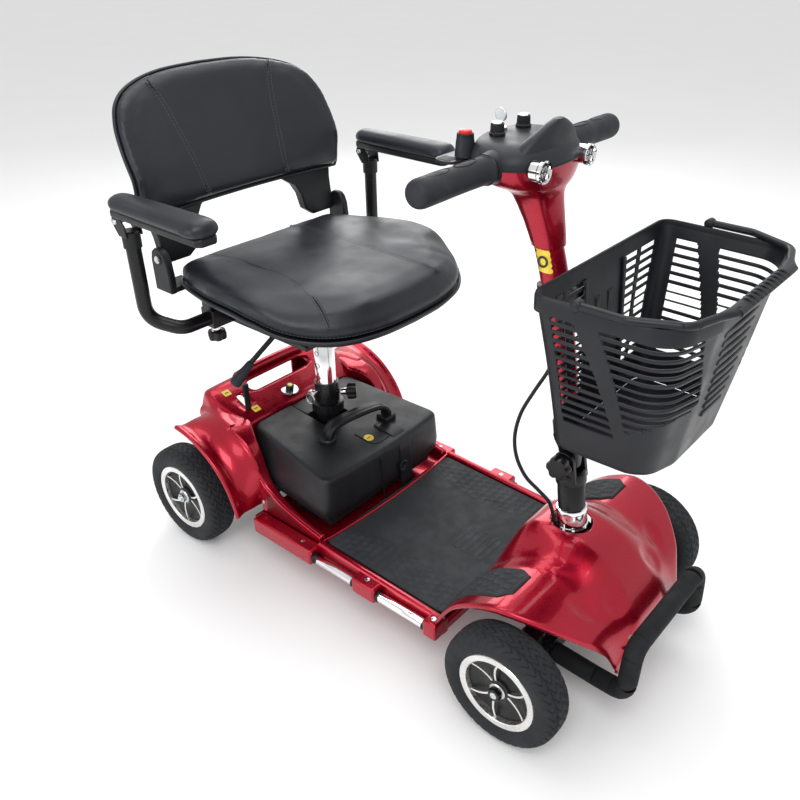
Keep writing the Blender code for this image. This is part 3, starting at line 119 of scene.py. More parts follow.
def through(table, position):
    """A smooth curve through (position, value) pairs, read at one position."""
    table = sorted(table)
    position = min(max(position, table[0][0]), table[-1][0])
    last = len(table) - 1
    i = next(k for k in range(last) if table[k + 1][0] >= position)
    (x0, y0), (x1, y1) = table[i], table[i + 1]
    before, after = table[max(i - 1, 0)], table[min(i + 2, last)]
    slope0 = (y1 - before[1]) / (x1 - before[0])
    slope1 = (after[1] - y0) / (after[0] - x0)
    width = x1 - x0
    t = (position - x0) / width
    start = (2 * t**3 - 3 * t**2 + 1) * y0 + (t**3 - 2 * t**2 + t) * width * slope0
    return start + (3 * t**2 - 2 * t**3) * y1 + (t**3 - t**2) * width * slope1


def route(points, spacing=0.006):
    """Points every spacing along a smooth curve through the given points."""
    points = [Vector(point) for point in points]
    ends = [2 * points[0] - points[1], *points, 2 * points[-1] - points[-2]]
    path = [points[0]]
    for a, b, c, d in zip(ends, ends[1:], ends[2:], ends[3:]):
        count = max(2, round((c - b).length / spacing))
        for i in range(1, count + 1):
            t = i / count
            cubic = (2 * a - 5 * b + 4 * c - d) * t**2 + (3 * b - a - 3 * c + d) * t**3
            path.append(0.5 * (2 * b + (c - a) * t + cubic))
    return path


def rounded(points, radius, steps=8):
    """A polyline whose inner corners are rounded."""
    points = [Vector(point) for point in points]
    path = [points[0]]
    for before, corner, after in zip(points, points[1:], points[2:]):
        back, ahead = (before - corner), (after - corner)
        half = back.angle(ahead) / 2
        reach = min(radius / math.tan(half), 0.49 * back.length, 0.49 * ahead.length)
        start, end = corner + back.normalized() * reach, corner + ahead.normalized() * reach
        for i in range(steps + 1):
            t = i / steps
            path.append(start * (1 - t) ** 2 + corner * 2 * t * (1 - t) + end * t**2)
    path.append(points[-1])
    return path


def heading(path, i):
    """The direction of a path at one of its points."""
    return (path[min(i + 1, len(path) - 1)] - path[max(i - 1, 0)]).normalized()


def circle(radius, steps):
    """(x, y) points round a circle."""
    return [(radius * math.cos(around(k, steps)), radius * math.sin(around(k, steps))) for k in range(steps)]


def curved(value, power):
    """A power that keeps the sign. On a sine or a cosine it squares off the circle."""
    return math.copysign(abs(value) ** power, value)


def spaced(path, steps):
    """Points at even steps along a polyline, both ends included."""
    lengths = [0.0]
    for a, b in zip(path, path[1:]):
        lengths.append(lengths[-1] + (b - a).length)
    points = []
    for k in range(steps + 1):
        want = lengths[-1] * k / steps
        i = max(j for j in range(len(lengths) - 1) if lengths[j] <= want)
        part = (want - lengths[i]) / max(lengths[i + 1] - lengths[i], 1e-9)
        points.append(path[i].lerp(path[i + 1], part))
    return points


# ---------------------------------------------------------------- pieces

def linked(name, data):
    """An object in the scene that holds the data."""
    obj = bpy.data.objects.new(name, data)
    bpy.context.scene.collection.objects.link(obj)
    return obj


def piece(name, mesh, material, body, replaces=(), smooth=35, origin=None):
    """A mesh in design places becomes an object riding on a CAD body.

    With an origin, the mesh's places start there.
    """
    obj = linked(name, mesh)
    if not mesh.materials:
        mesh.materials.append(material)
        mesh.shade_smooth()
        if smooth < 180:
            mesh.set_sharp_from_angle(angle=math.radians(smooth))
    obj.location = at(*origin) if origin else SHIFT
    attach(obj, body)
    if replaces:
        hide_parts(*replaces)
    return obj


def made(name, bm, weld=0.0):
    """A mesh from the BMesh, with its faces turned outward."""
    if weld:
        bmesh.ops.remove_doubles(bm, verts=bm.verts, dist=weld)
    bmesh.ops.recalc_face_normals(bm, faces=bm.faces)
    mesh = bpy.data.meshes.new(name)
    bm.to_mesh(mesh)
    bm.free()
    return mesh


def grid_mesh(name, rows, round_rows=False, round_columns=False, caps=False):
    """Rows of equally many points, skinned into quads."""
    bm = bmesh.new()
    verts = [[bm.verts.new(point) for point in row] for row in rows]
    pairs = list(zip(verts, verts[1:]))
    if round_rows:
        pairs.append((verts[-1], verts[0]))
    for near, far in pairs:
        count = len(near)
        for i in range(count if round_columns else count - 1):
            j = (i + 1) % count
            bm.faces.new((near[i], near[j], far[j], far[i]))
    if caps:
        bm.faces.new(verts[0])
        bm.faces.new(verts[-1])
    return made(name, bm, 0.000002)


def solid_mesh(name, rows):
    """Closed rings of points, skinned and capped at both ends."""
    return grid_mesh(name, rows, round_columns=True, caps=True)


def add_modifier(obj, kind, **values):
    """Adds a modifier and sets its values."""
    modifier = obj.modifiers.new(kind.title(), kind)
    for key, value in values.items():
        setattr(modifier, key, value)
    return modifier


def rounded_edges(obj, width, segments=3, angle=40):
    """Bevels the object's sharp edges."""
    add_modifier(
        obj, "BEVEL", width=width, segments=segments, limit_method="ANGLE", angle_limit=math.radians(angle),
    )
    obj.data.shade_smooth()
    return obj


def subdivided(obj, levels=2):
    """Smooths the object by subdivision."""
    add_modifier(obj, "SUBSURF", levels=levels, render_levels=levels)
    return obj


def thickened(obj, thickness, offset=-1.0):
    """Gives a skin its thickness."""
    add_modifier(obj, "SOLIDIFY", thickness=thickness, offset=offset)
    return obj


def sheet(name, rows, material, body, thickness=0.003, levels=2, replaces=(), offset=-1.0):
    """A smooth skin through coarse rows of points, with a thickness."""
    obj = piece(name, grid_mesh(name, rows), material, body, replaces, 180)
    subdivided(obj, levels)
    return thickened(obj, thickness, offset)


def block(name, low, high, material, body, bevel=0.002, segments=3, replaces=()):
    """A box with rounded edges."""
    bm = bmesh.new()
    bmesh.ops.create_cube(bm, size=1.0)
    low, high = Vector(low), Vector(high)
    for vert in bm.verts:
        vert.co = Vector(((low[i] + high[i]) / 2 + vert.co[i] * (high[i] - low[i])) for i in range(3))
    obj = piece(name, made(name, bm), material, body, replaces)
    return rounded_edges(obj, bevel, segments)


def lathe_mesh(name, profile, axis=(0, 0, 1), steps=64):
    """Turns (radius, height) points about the axis."""
    turn = Vector(axis).to_track_quat("Z", "Y")
    rows = []
    for k in range(steps):
        a = around(k, steps)
        rows.append([turn @ Vector((r * math.cos(a), r * math.sin(a), h)) for r, h in profile])
    return grid_mesh(name, rows, round_rows=True)


def lathe(name, profile, base, axis, material, body, steps=64, replaces=(), smooth=28):
    """A turned piece that stands on its base along the axis."""
    mesh = lathe_mesh(name, profile, axis, steps)
    return piece(name, mesh, material, body, replaces, smooth, origin=base)


def rod(name, start, end, radius, material, body, bevel=0.0006, steps=32, replaces=()):
    """A round bar with bevelled ends."""
    start, end = Vector(start), Vector(end)
    length = (end - start).length
    b = min(bevel, radius / 2, length / 3)
    profile = [(0, length), (radius - b, length), (radius, length - b), (radius, b), (radius - b, 0), (0, 0)]
    return lathe(name, profile, start, end - start, material, body, steps, replaces, 50)


def tube(name, points, radius, material, body, replaces=(), cyclic=False, resolution=5):
    """A round section along a path."""
    curve = bpy.data.curves.new(name, "CURVE")
    curve.dimensions = "3D"
    curve.bevel_depth = radius
    curve.bevel_resolution = resolution
    curve.use_fill_caps = not cyclic
    spline = curve.splines.new("POLY")
    spline.points.add(len(points) - 1)
    spline.use_cyclic_u = cyclic
    spline.use_smooth = True
    for point, place in zip(spline.points, points):
        point.co = (*place, 1.0)
    obj = linked(name, curve)
    curve.materials.append(material)
    obj.location = SHIFT
    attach(obj, body)
    if replaces:
        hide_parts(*replaces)
    return obj


def strip(name, path, width, height, material, body, up=(0, 0, 1), bevel=0.0008, replaces=()):
    """A bar of rectangular section along a path."""
    rows = []
    up = Vector(up)
    for i, point in enumerate(path):
        ahead = heading(path, i)
        side = ahead.cross(up).normalized() * width / 2
        lift = side.cross(ahead).normalized() * height / 2
        rows.append([point - side - lift, point + side - lift, point + side + lift, point - side + lift])
    obj = piece(name, solid_mesh(name, rows), material, body, replaces)
    return rounded_edges(obj, bevel, 2)


def slab(name, outline, low, high, material, body, bevel=0.002, segments=3, replaces=()):
    """A closed outline of (x, y) points between two heights."""
    rows = [[(x, y, low) for x, y in outline], [(x, y, high) for x, y in outline]]
    obj = piece(name, solid_mesh(name, rows), material, body, replaces)
    return rounded_edges(obj, bevel, segments)


def decal(name, centre, normal, width, height, material, body, corner=0.0015):
    """A thin sticker on a surface, rounded at its corners."""
    turn = Vector(normal).to_track_quat("Z", "Y")
    outline = []
    for k in range(24):
        a = 2 * math.pi * (k + 0.5) / 24
        x = math.copysign(width / 2 - corner, math.cos(a)) + corner * math.cos(a)
        y = math.copysign(height / 2 - corner, math.sin(a)) + corner * math.sin(a)
        outline.append((x, y))
    rows = [[turn @ Vector((x, y, z)) for x, y in outline] for z in (-0.0003, 0.0003)]
    return piece(name, solid_mesh(name, rows), material, body, origin=centre)


# ---------------------------------------------------------------- materials

class Shader:
    """A Principled material with a few procedural layers."""

    def __init__(self, name, colour, roughness, metallic=0.0, **inputs):
        self.material = bpy.data.materials.new(name)
        self.material.use_nodes = True
        self.tree = self.material.node_tree
        self.bsdf = self.tree.nodes["Principled BSDF"]
        self.colour, self.roughness = colour, roughness
        self.bsdf.inputs["Base Color"].default_value = (*colour, 1.0)
        self.bsdf.inputs["Roughness"].default_value = roughness
        self.bsdf.inputs["Metallic"].default_value = metallic
        for key, value in inputs.items():
            self.bsdf.inputs[key.replace("_", " ")].default_value = value
        self.where = self.node("ShaderNodeTexCoord").outputs["Object"]
        self.height = None

    def node(self, kind, **inputs):
        """Adds a node and sets its inputs."""
        made_node = self.tree.nodes.new(kind)
        for key, value in inputs.items():
            made_node.inputs[key.replace("_", " ")].default_value = value
        return made_node

    def link(self, source, target):
        """Joins two sockets."""
        self.tree.links.new(source, target)

    def noise(self, scale, detail=3.0):
        """Soft noise over the object."""
        texture = self.node("ShaderNodeTexNoise", Scale=scale, Detail=detail)
        self.link(self.where, texture.inputs["Vector"])
        return texture.outputs["Fac"]

    def cells(self, scale, feature="F1"):
        """Cell distances over the object."""
        texture = self.node("ShaderNodeTexVoronoi", Scale=scale)
        texture.feature = feature
        self.link(self.where, texture.inputs["Vector"])
        return texture.outputs["Distance"]

    def spread(self, source, low, high, start=0.3, end=0.7):
        """The source, stretched from start..end to low..high."""
        span = self.node("ShaderNodeMapRange", From_Min=start, From_Max=end, To_Min=low, To_Max=high)
        self.link(source, span.inputs["Value"])
        return span.outputs["Result"]

    def tint(self, source, colour, start=0.3, end=0.7):
        """Mixes the base colour with another where the source is high."""
        mix = self.node("ShaderNodeMix")
        mix.data_type = "RGBA"
        mix.inputs[6].default_value = (*self.colour, 1.0)
        mix.inputs[7].default_value = (*colour, 1.0)
        before = self.bsdf.inputs["Base Color"]
        if before.is_linked:
            self.link(before.links[0].from_socket, mix.inputs[6])
        self.link(self.spread(source, 0.0, 1.0, start, end), mix.inputs["Factor"])
        self.link(mix.outputs[2], before)
        return self

    def wear(self, source, low, high):
        """Varies the roughness with the source."""
        self.link(self.spread(source, low, high), self.bsdf.inputs["Roughness"])
        return self

    def bump(self, source, distance, strength=1.0):
        """Adds a height layer to the normal."""
        layer = self.node("ShaderNodeBump", Strength=strength, Distance=distance)
        self.link(source, layer.inputs["Height"])
        if self.height:
            self.link(self.height, layer.inputs["Normal"])
        self.height = layer.outputs["Normal"]
        self.link(self.height, self.bsdf.inputs["Normal"])
        return self


def red_paint():
    """Candy red: coloured metallic paint under a clear coat."""
    paint = Shader("candy_red", (0.43, 0.002, 0.022), 0.25, 0.72, Coat_Weight=0.45, Coat_Roughness=0.04)
    paint.tint(paint.noise(5.0, 2.0), (0.34, 0.001, 0.016), 0.35, 0.75)
    return paint.wear(paint.noise(60.0), 0.24, 0.33).material


def plastic(name, colour, roughness, grain=700.0, depth=0.00012):
    """Moulded plastic with a fine grain."""
    shader = Shader(name, colour, roughness, Specular_IOR_Level=0.32)
    lighter = tuple(c * 1.3 + 0.001 for c in colour)
    shader.tint(shader.noise(14.0), lighter, 0.4, 0.8)
    shader.wear(shader.noise(30.0), roughness - 0.06, roughness + 0.08)
    return shader.bump(shader.noise(grain, 2.0), depth, 0.6).material


def leather():
    """Black imitation leather with fine creases."""
    shader = Shader("black_leather", (0.0065, 0.008, 0.0125), 0.4, Specular_IOR_Level=0.42)
    shader.tint(shader.noise(9.0), (0.01, 0.0125, 0.019), 0.35, 0.75)
    shader.wear(shader.noise(22.0), 0.34, 0.47)
    shader.bump(shader.cells(420.0, "DISTANCE_TO_EDGE"), 0.00022, 0.5)
    return shader.bump(shader.noise(70.0), 0.0005, 0.25).material


def rubber(name, colour, roughness=0.72):
    """Matt rubber."""
    shader = Shader(name, colour, roughness, Specular_IOR_Level=0.25)
    shader.tint(shader.noise(24.0), tuple(c * 1.4 + 0.002 for c in colour), 0.45, 0.75)
    shader.wear(shader.noise(55.0), roughness - 0.08, roughness + 0.1)
    return shader.bump(shader.noise(900.0), 0.00015, 0.5).material


def metal(name, colour, roughness):
    """Bare or plated metal."""
    shader = Shader(name, colour, roughness, 1.0)
    shader.wear(shader.noise(120.0, 3.0), roughness * 0.7, roughness * 1.4)
    shader.tint(shader.noise(18.0), tuple(c * 0.8 for c in colour), 0.45, 0.8)
    return shader.bump(shader.noise(500.0, 2.0), 0.00002, 0.4).material


def sticker():
    """A plain yellow label."""
    shader = Shader("yellow_label", (0.85, 0.66, 0.06), 0.35, Coat_Weight=0.3)
    return shader.tint(shader.noise(90.0), (0.74, 0.5, 0.01)).material


RED = red_paint()
# A dark red that stands in for the shade inside the gusset recess: painted shade, not a second paint.
PAINTED_RECESS_SHADE = plastic("painted_recess_shade_red", (0.1, 0.0, 0.004), 0.35)
BLACK = plastic("black_plastic", (0.0055, 0.006, 0.0075), 0.4)
CASE = plastic("case_plastic", (0.01, 0.011, 0.013), 0.44, 420.0, 0.00045)
BASKET = plastic("basket_plastic", (0.0075, 0.0085, 0.0115), 0.38)
GREY = plastic("soft_grey", (0.012, 0.0135, 0.0175), 0.46, 900.0)
GRIP = rubber("grip_rubber", (0.017, 0.019, 0.024), 0.58)
SATIN = plastic("black_powder_coat", (0.0045, 0.0045, 0.0055), 0.28, 300.0, 0.0002)
LEATHER = leather()
TYRE = rubber("tyre_rubber", (0.015, 0.0165, 0.019), 0.72)
MAT = rubber("mat_rubber", (0.023, 0.026, 0.029), 0.62)
FOAM = rubber("foam_sleeve", (0.01, 0.011, 0.012), 0.8)
CHROME = metal("chrome", (0.88, 0.88, 0.89), 0.07)
ALLOY = metal("machined_alloy", (0.8, 0.79, 0.77), 0.26)
ZINC = metal("zinc_plate", (0.62, 0.66, 0.68), 0.28)
RIM_BLACK = plastic("rim_black", (0.01, 0.01, 0.011), 0.35)
LABEL = sticker()
# Black for printed signs on the labels, and also painted shade in the seat post's pin holes.
INK_AND_HOLE_SHADE = plastic("label_ink_and_hole_shade", (0.02, 0.02, 0.02), 0.45)
THREAD = plastic("pale_thread", (0.08, 0.086, 0.1), 0.65, 1500.0)
RED_BUTTON = plastic("red_button", (0.62, 0.012, 0.012), 0.32)
LENS = plastic("lamp_grid", (0.03, 0.03, 0.03), 0.25)


# ---------------------------------------------------------------- wheels

TYRE_HALF = 0.029


def tyre_mesh():
    """A solid tyre about the X axis: zigzag blocks round the middle and ribs across the shoulders."""
    outline = mm(
        (-23.5, 66), (-26.5, 70), (-28.5, 78), (-28.3, 86), (-25.5, 92.5), (-20, 96.5), (-12, 98.5),
        (0, 99),
    )
    outline = route([(x, r, 0) for x, r in (*outline, *[(-x, r) for x, r in outline[-2::-1]])], 0.0016)
    steps, blocks = 480, 40
    rows = []
    for k in range(steps):
        a = around(k, steps)
        row = []
        for x, r, _ in outline:
            across = abs(x) / TYRE_HALF
            cut = 0.0
            if r > 0.084:
                phase = (k * blocks / steps + 0.5 * (across > 0.42) + 0.35 * math.sin(x * 420)) % 1.0
                groove = 1 - ease(abs(phase - 0.5) / 0.16)
                ring = 1 - ease(abs(across - 0.42) / 0.05)
                cut = 0.0024 * max(groove, 0.8 * ring) * ease((r - 0.084) / 0.006)
            row.append((x, (r - cut) * math.cos(a), (r - cut) * math.sin(a)))
        rows.append(row)
    return grid_mesh("tyre", rows, round_rows=True)


def spoke_mesh():
    """Three pairs of thin curved spoke edges, bright on the black dish."""
    bm = bmesh.new()
    for k in range(6):
        lean = 0.3 if k % 2 else -0.3
        start = 2 * math.pi * (k // 2) / 3 + (0.22 if k % 2 else -0.22)
        lines = []
        for i in range(13):
            t = i / 12
            r = 0.017 + 0.0365 * t
            a = start + lean * (0.55 * t + 0.45 * t * t)
            ring = []
            for across, out in mm((-1.7, 0), (-1.7, 3), (1.7, 3), (1.7, 0)):
                b = a + across / r
                ring.append(bm.verts.new((0.014 + 0.0035 * t + out, r * math.cos(b), r * math.sin(b))))
            lines.append(ring)
        for near, far in zip(lines, lines[1:]):
            for i in range(4):
                bm.faces.new((near[i], near[(i + 1) % 4], far[(i + 1) % 4], far[i]))
        bm.faces.new(lines[0])
        bm.faces.new(lines[-1])
    return made("spokes", bm)


def wheels():
    """The four wheels: tyre, bright ring, black dish, spokes, hub and nut."""
    tyre, spokes = tyre_mesh(), spoke_mesh()
    ring = lathe_mesh(
        "rim_ring", mm((66.5, 10), (66.2, 23.2), (65, 24.8), (56, 25), (54.5, 24), (53.7, 15)), (1, 0, 0),
        96,
    )
    dish = lathe_mesh("rim_dish", mm((54.1, 17), (52.5, 14), (40, 9.5), (20, 11), (15, 14)), (1, 0, 0), 96)
    back = lathe_mesh(
        "rim_back", mm((66.6, 12), (66, -21.5), (63, -23.5), (56, -20), (30, -13), (13, -13)), (1, 0, 0),
        96,
    )
    boss = lathe_mesh("hub_boss", mm((18.5, 11.5), (18, 16.5), (16, 18), (6, 18.5)), (1, 0, 0), 48)
    for end, y in (("front", FRONT_AXLE_Y), ("rear", REAR_AXLE_Y)):
        for side, s in SIDES:
            body = f"{end}_wheel_{side}"
            centre = (s * HALF_TRACK, y, WHEEL_RADIUS)
            parts = [piece(f"{body}_tyre", tyre, TYRE, body, [f"{end}_tyre_{side}"], 40, centre)]
            parts.append(piece(f"{body}_ring", ring, ALLOY, body, [f"{end}_rim_{side}"], 30, centre))
            for mesh, material, label in (
                (dish, RIM_BLACK, "dish"), (back, RIM_BLACK, "back"), (spokes, ALLOY, "spokes"),
                (boss, RIM_BLACK, "boss"),
            ):
                parts.append(piece(f"{body}_{label}", mesh, material, body, (), 35, centre))
            flange = mm((13.5, 0), (13.5, 1.2), (11.8, 2.6), (9.2, 3))
            hexagon = mm((9.2, 2.5), (9.2, 8.8), (8, 10), (5, 10.2))
            nut_x = 0.0186
            parts.append(
                piece(
                    f"{body}_nut_flange", lathe_mesh("flange", flange, (1, 0, 0), 48), ZINC, body, (), 30,
                    centre,
                )
            )
            parts.append(
                piece(f"{body}_nut", lathe_mesh("nut", hexagon, (1, 0, 0), 6), ZINC, body, (), 20, centre)
            )
            stud = mm((5.6, 6), (5.6, 11.6), (4.8, 12.4), (0, 12.4))
            parts.append(
                piece(f"{body}_stud", lathe_mesh("stud", stud, (1, 0, 0), 24), ZINC, body, (), 30, centre)
            )
            for part in parts[-3:]:
                part.location.x += s * nut_x
            if s < 0:
                for part in parts:
                    part.rotation_euler.z = math.pi


def anti_tip_wheels():
    """The two small wheels behind, with their hubs."""
    outline = mm(
        (9, -8.5), (19.5, -10), (22.8, -8.5), (23.6, -4), (23.6, 4), (22.8, 8.5), (19.5, 10), (9, 8.5),
    )
    hub = mm((0, 9.8), (6, 10), (9, 9), (9.2, -9), (6, -10), (0, -9.8))
    for side, s in SIDES:
        body = f"anti_tip_wheel_{side}"
        centre = (s * 0.064, 0.452, 0.052)
        lathe(f"{body}_tread", outline, centre, (1, 0, 0), TYRE, body, 48, [body])
        lathe(f"{body}_hub", hub, centre, (1, 0, 0), BLACK, body, 32)


# ---------------------------------------------------------------- deck

PAN_HALF = 0.186
MAT_STEP = 0.0022
MAT_HALF = 0.1705


def scale_pattern(x, y):
    """Overlapping round scales, 0..1."""
    size = 0.015
    v = y / size
    row = math.floor(v)
    best = 0.0
    for r in (row, row + 1):
        u = x / size + 0.5 * (r % 2)
        du = u - math.floor(u) - 0.5
        dv = v - r
        d = math.hypot(du, dv)
        best = max(best, 1 - ease(abs(d - 0.5) / 0.14))
    return best


def floor_mat():
    """The rubber mat: scales on both side zones, a smooth middle and three outlined ribs near the front."""
    front, back = -0.221, 0.046
    xs = int(2 * MAT_HALF / MAT_STEP)
    ys = int((back - front) / MAT_STEP)
    rows = []
    for j in range(ys + 1):
        y = front + (back - front) * j / ys
        row = []
        for i in range(xs + 1):
            u = 2 * i / xs - 1
            half = MAT_HALF - 0.0035 * ease((-0.205 - y) / 0.016) - 0.004 * ease((y - 0.035) / 0.011)
            x = u * half
            inner = 0.098 + 0.03 * ((y + 0.09) / 0.13) ** 2
            border = ease((half - abs(x)) / 0.01) * ease((y - front) / 0.012) * ease((back - y) / 0.006)
            height = 0.0016 * scale_pattern(x, y) * ease((abs(x) - inner) / 0.004) * border
            height += 0.001 * (1 - ease(abs(abs(x) - inner) / 0.0022)) * border
            for rib in (-0.185, -0.16, -0.135):
                d = math.hypot(max(abs(x) - 0.026, 0.0), y - rib) - 0.0062
                height += 0.0012 * (1 - ease(abs(d) / 0.0022))
            drop = 0.0016 * (1 - ease((half - abs(x)) / 0.0035)) + 0.0012 * (1 - ease((y - front) / 0.003))
            row.append((x, y, deck_z(y) - 0.0002 + height - drop))
        rows.append(row)
    mat = piece("floor_mat_top", grid_mesh("mat", rows), MAT, "chassis", ["floor_mat"], 180)
    thickened(mat, 0.003)


def deck():
    """The sills, the bright side tubes and the tray under the mat."""
    for side, s in SIDES:
        rows = []
        for y in (-0.2325, -0.16, -0.08, -0.02, 0.0495):
            low, high = 0.0815, deck_z(y) + 0.0028
            section = (
                (0.1745, low), (0.1868, low), (0.1872, high - 0.003), (0.185, high), (0.179, high + 0.0004),
                (0.1745, high - 0.0022),
            )
            rows.append([(s * x, y, z) for x, z in section])
        obj = piece(
            f"deck_sill_{side}", solid_mesh("sill", rows), RED, "chassis", ["floor_pan"] if s < 0 else (),
        )
        rounded_edges(obj, 0.0012)
        for n, (front, rear, top) in enumerate(
            mm((-232, -204.5, 112.2), (-100.5, -49.5, 112.2), (49.5, 199.5, 113))
        ):
            block(
                f"deck_lug_{side}_{n}", (min(s * 0.18, s * 0.2075), front, 0.08),
                (max(s * 0.18, s * 0.2075), rear, top), RED, "chassis", 0.0045, 4,
            )
        for n, y in enumerate((-0.218, -0.075, 0.08)):
            lathe(
                f"deck_screw_{side}_{n}", mm((0, 1.2), (2, 1.4), (4.6, 0.6), (4.8, -1)),
                (s * 0.1935, y, 0.1122), (0, 0, 1), ZINC, "chassis", 24,
            )
        rod(
            f"side_tube_chrome_{side}", (s * 0.1965, -0.205, 0.093), (s * 0.1965, 0.05, 0.093), 0.0081,
            CHROME, "chassis", replaces=[f"side_tube_{side}"],
        )
        for n, y in enumerate((-0.203, -0.103, -0.0475, 0.047)):
            rod(
                f"side_tube_collar_{side}_{n}", (s * 0.1965, y - 0.003, 0.093),
                (s * 0.1965, y + 0.003, 0.093), 0.0098, BLACK, "chassis",
            )
    under = [(-PAN_HALF, -0.23), (PAN_HALF, -0.23), (PAN_HALF, 0.222), (-PAN_HALF, 0.222)]
    slab("deck_tray", under, 0.08, 0.096, RED, "chassis", 0.003)
    lip = [
        Vector((x, y, deck_z(y) + 0.0006))
        for x, y in mm(
            (-174.5, 47), (-150, 43.5), (-80, 38.5), (0, 36.5), (80, 38.5), (150, 43.5), (174.5, 47),
        )
    ]
    strip("deck_rear_lip", route(lip, 0.008), 0.0045, 0.005, RED, "chassis", bevel=0.0015)


# ---------------------------------------------------------------- front cowl

ARCH_PROFILE = mm(
    (-226, 118), (-240, 146), (-262, 178), (-300, 207), (-350, 225), (-410, 213), (-458, 180), (-478, 150),
    (-488, 120),
)
HUMP_PROFILE = mm(
    (-226, 118), (-240, 150), (-256, 200), (-285, 246), (-340, 254), (-408, 240), (-450, 208), (-478, 174),
    (-488, 160),
)
COWL_HALF_WIDTH = mm(
    (-226, 198), (-262, 202), (-348, 204), (-410, 181), (-458, 141), (-478, 112), (-488, 100),
)
STEM_HOLE_RADIUS = 0.0325
COWL_REAR_Y, COWL_LENGTH = -0.2265, 0.2615


def cowl_z(x, y):
    """The height of the cowl over a place."""
    blend = ease((abs(x) - 0.03) / 0.07)
    return through(HUMP_PROFILE, y) * (1 - blend) + through(ARCH_PROFILE, y) * blend


def cowl_lines(x, y):
    """The cowl's folds: a ridge from the hump over each arch, and a hollow either side of it."""
    side = abs(x)
    height = 0.0
    if y > -0.4:
        ridge = 0.06 + 0.16 * (y + 0.4)
        height += 0.0035 * math.exp(
            -((side - ridge - 0.02) / 0.0075) ** 2
        ) * ease((-0.245 - y) / 0.02) * ease((y + 0.4) / 0.03)
    hollow = math.hypot((side - 0.058) / 0.024, (y + 0.452) / 0.02)
    height -= 0.005 * (1 - ease((hollow - 0.45) / 0.55))
    hollow = math.hypot((side - 0.108 - 0.35 * (y + 0.43)) / 0.018, (y + 0.43) / 0.024)
    height -= 0.0045 * (1 - ease((hollow - 0.45) / 0.55))
    return height


def hide(obj):
    """Keeps a cutter out of the render."""
    obj.hide_render = True
    obj.display_type = "WIRE"
    return obj


def cut(obj, name, mesh, origin=(0, 0, 0)):
    """Cuts a hidden closed mesh out of the object."""
    cutter = linked(name, mesh)
    cutter.location = at(*origin)
    cutter.parent = obj.parent
    hide(cutter)
    add_modifier(obj, "BOOLEAN", operation="DIFFERENCE", solver="EXACT", object=cutter)
    return obj


def prism_mesh(name, outline, depth, axis=(0, 0, 1), turn=0.0):
    """A closed outline pushed both ways along an axis."""
    spin = Vector(axis).to_track_quat("Z", "Y") @ Matrix.Rotation(turn, 3, "Z").to_quaternion()
    rows = [[spin @ Vector((x, y, z)) for x, y in outline] for z in (-depth / 2, depth / 2)]
    return solid_mesh(name, rows)


def stadium(length, width):
    """The outline of a slot with round ends, along X."""
    count = 10
    r = width / 2
    reach = length / 2 - r
    outline = []
    for sign in (1, -1):
        for k in range(count + 1):
            a = -math.pi / 2 + math.pi * k / count
            outline.append((sign * (reach + r * math.cos(a)), sign * r * math.sin(a)))
    return outline


def front_cowl():
    """The red cowl over the front wheels, with its stem hole and front slot."""
    rows = []
    stations = [COWL_REAR_Y - COWL_LENGTH * k / 62 for k in range(63)]
    for y in stations:
        half = through(COWL_HALF_WIDTH, y)
        row = []
        count = 56
        for i in range(count + 1):
            x = half * (2 * i / count - 1)
            row.append(Vector((x, y, cowl_z(x, y) + cowl_lines(x, y))))
        ends = []
        for end, sign in ((row[0], -1), (row[-1], 1)):
            lip = [
                end + Vector((sign * 0.0035, 0, -0.0015)), end + Vector((sign * 0.0045, 0, -0.006)),
                end + Vector((sign * 0.0035, 0, -0.0115)), end + Vector((-sign * 0.0035, 0, -0.0135)),
            ]
            ends.append(lip)
        rows.append([*reversed(ends[0]), *row, *ends[1]])
    last = rows[-1]
    count = len(last)
    half_last = 0.1045
    for drop, out in ((0.12, 0.0022), (0.3, 0.003), (0.7, 0.004), (1.0, 0.0045)):
        row = []
        for i, point in enumerate(last):
            z = point.z + (0.104 - point.z) * drop
            row.append(Vector((max(min(point.x, half_last), -half_last), -0.488 - out, z)))
        rows.append(row)
    cowl = piece("front_cowl_skin", grid_mesh("cowl", rows), RED, "chassis", ["front_cowl"], 180)
    subdivided(cowl, 1)
    thickened(cowl, 0.003)
    hole = prism_mesh("stem_hole", circle(STEM_HOLE_RADIUS, 48), 0.12, STEM_AXIS)
    cut(cowl, "stem_hole_cutter", hole, tuple(stem_point(0.25)))
    cut(
        cowl, "front_slot_cutter", prism_mesh("front_slot", stadium(0.128, 0.0085), 0.03, (0, 1, 0)),
        (0, -0.4905, 0.142),
    )
    lip = [
        Vector((x, -0.4935 + 0.0035 * (abs(x) / 0.09) ** 2, 0.1325))
        for x in (-0.078, -0.06, -0.03, 0, 0.03, 0.06, 0.078)
    ]
    strip("front_slot_lip", route(lip, 0.008), 0.0065, 0.0045, RED, "chassis", bevel=0.002)
    floor = mm((31.8, 0), (32, -12), (22.5, -13.5))
    lathe("stem_hole_floor", floor, tuple(stem_point(0.238)), STEM_AXIS, BLACK, "chassis", 48)
    seam = [
        Vector((x, -0.2262 - 0.0135 * (1 - (x / 0.105) ** 2), 0))
        for x in (-0.105, -0.09, -0.06, -0.03, 0, 0.03, 0.06, 0.09, 0.105)
    ]
    seam = [Vector((p.x, p.y, cowl_z(p.x, p.y) + 0.0008)) for p in route(seam, 0.006)]
    tube("hump_foot_seam", seam, 0.0014, BLACK, "chassis")


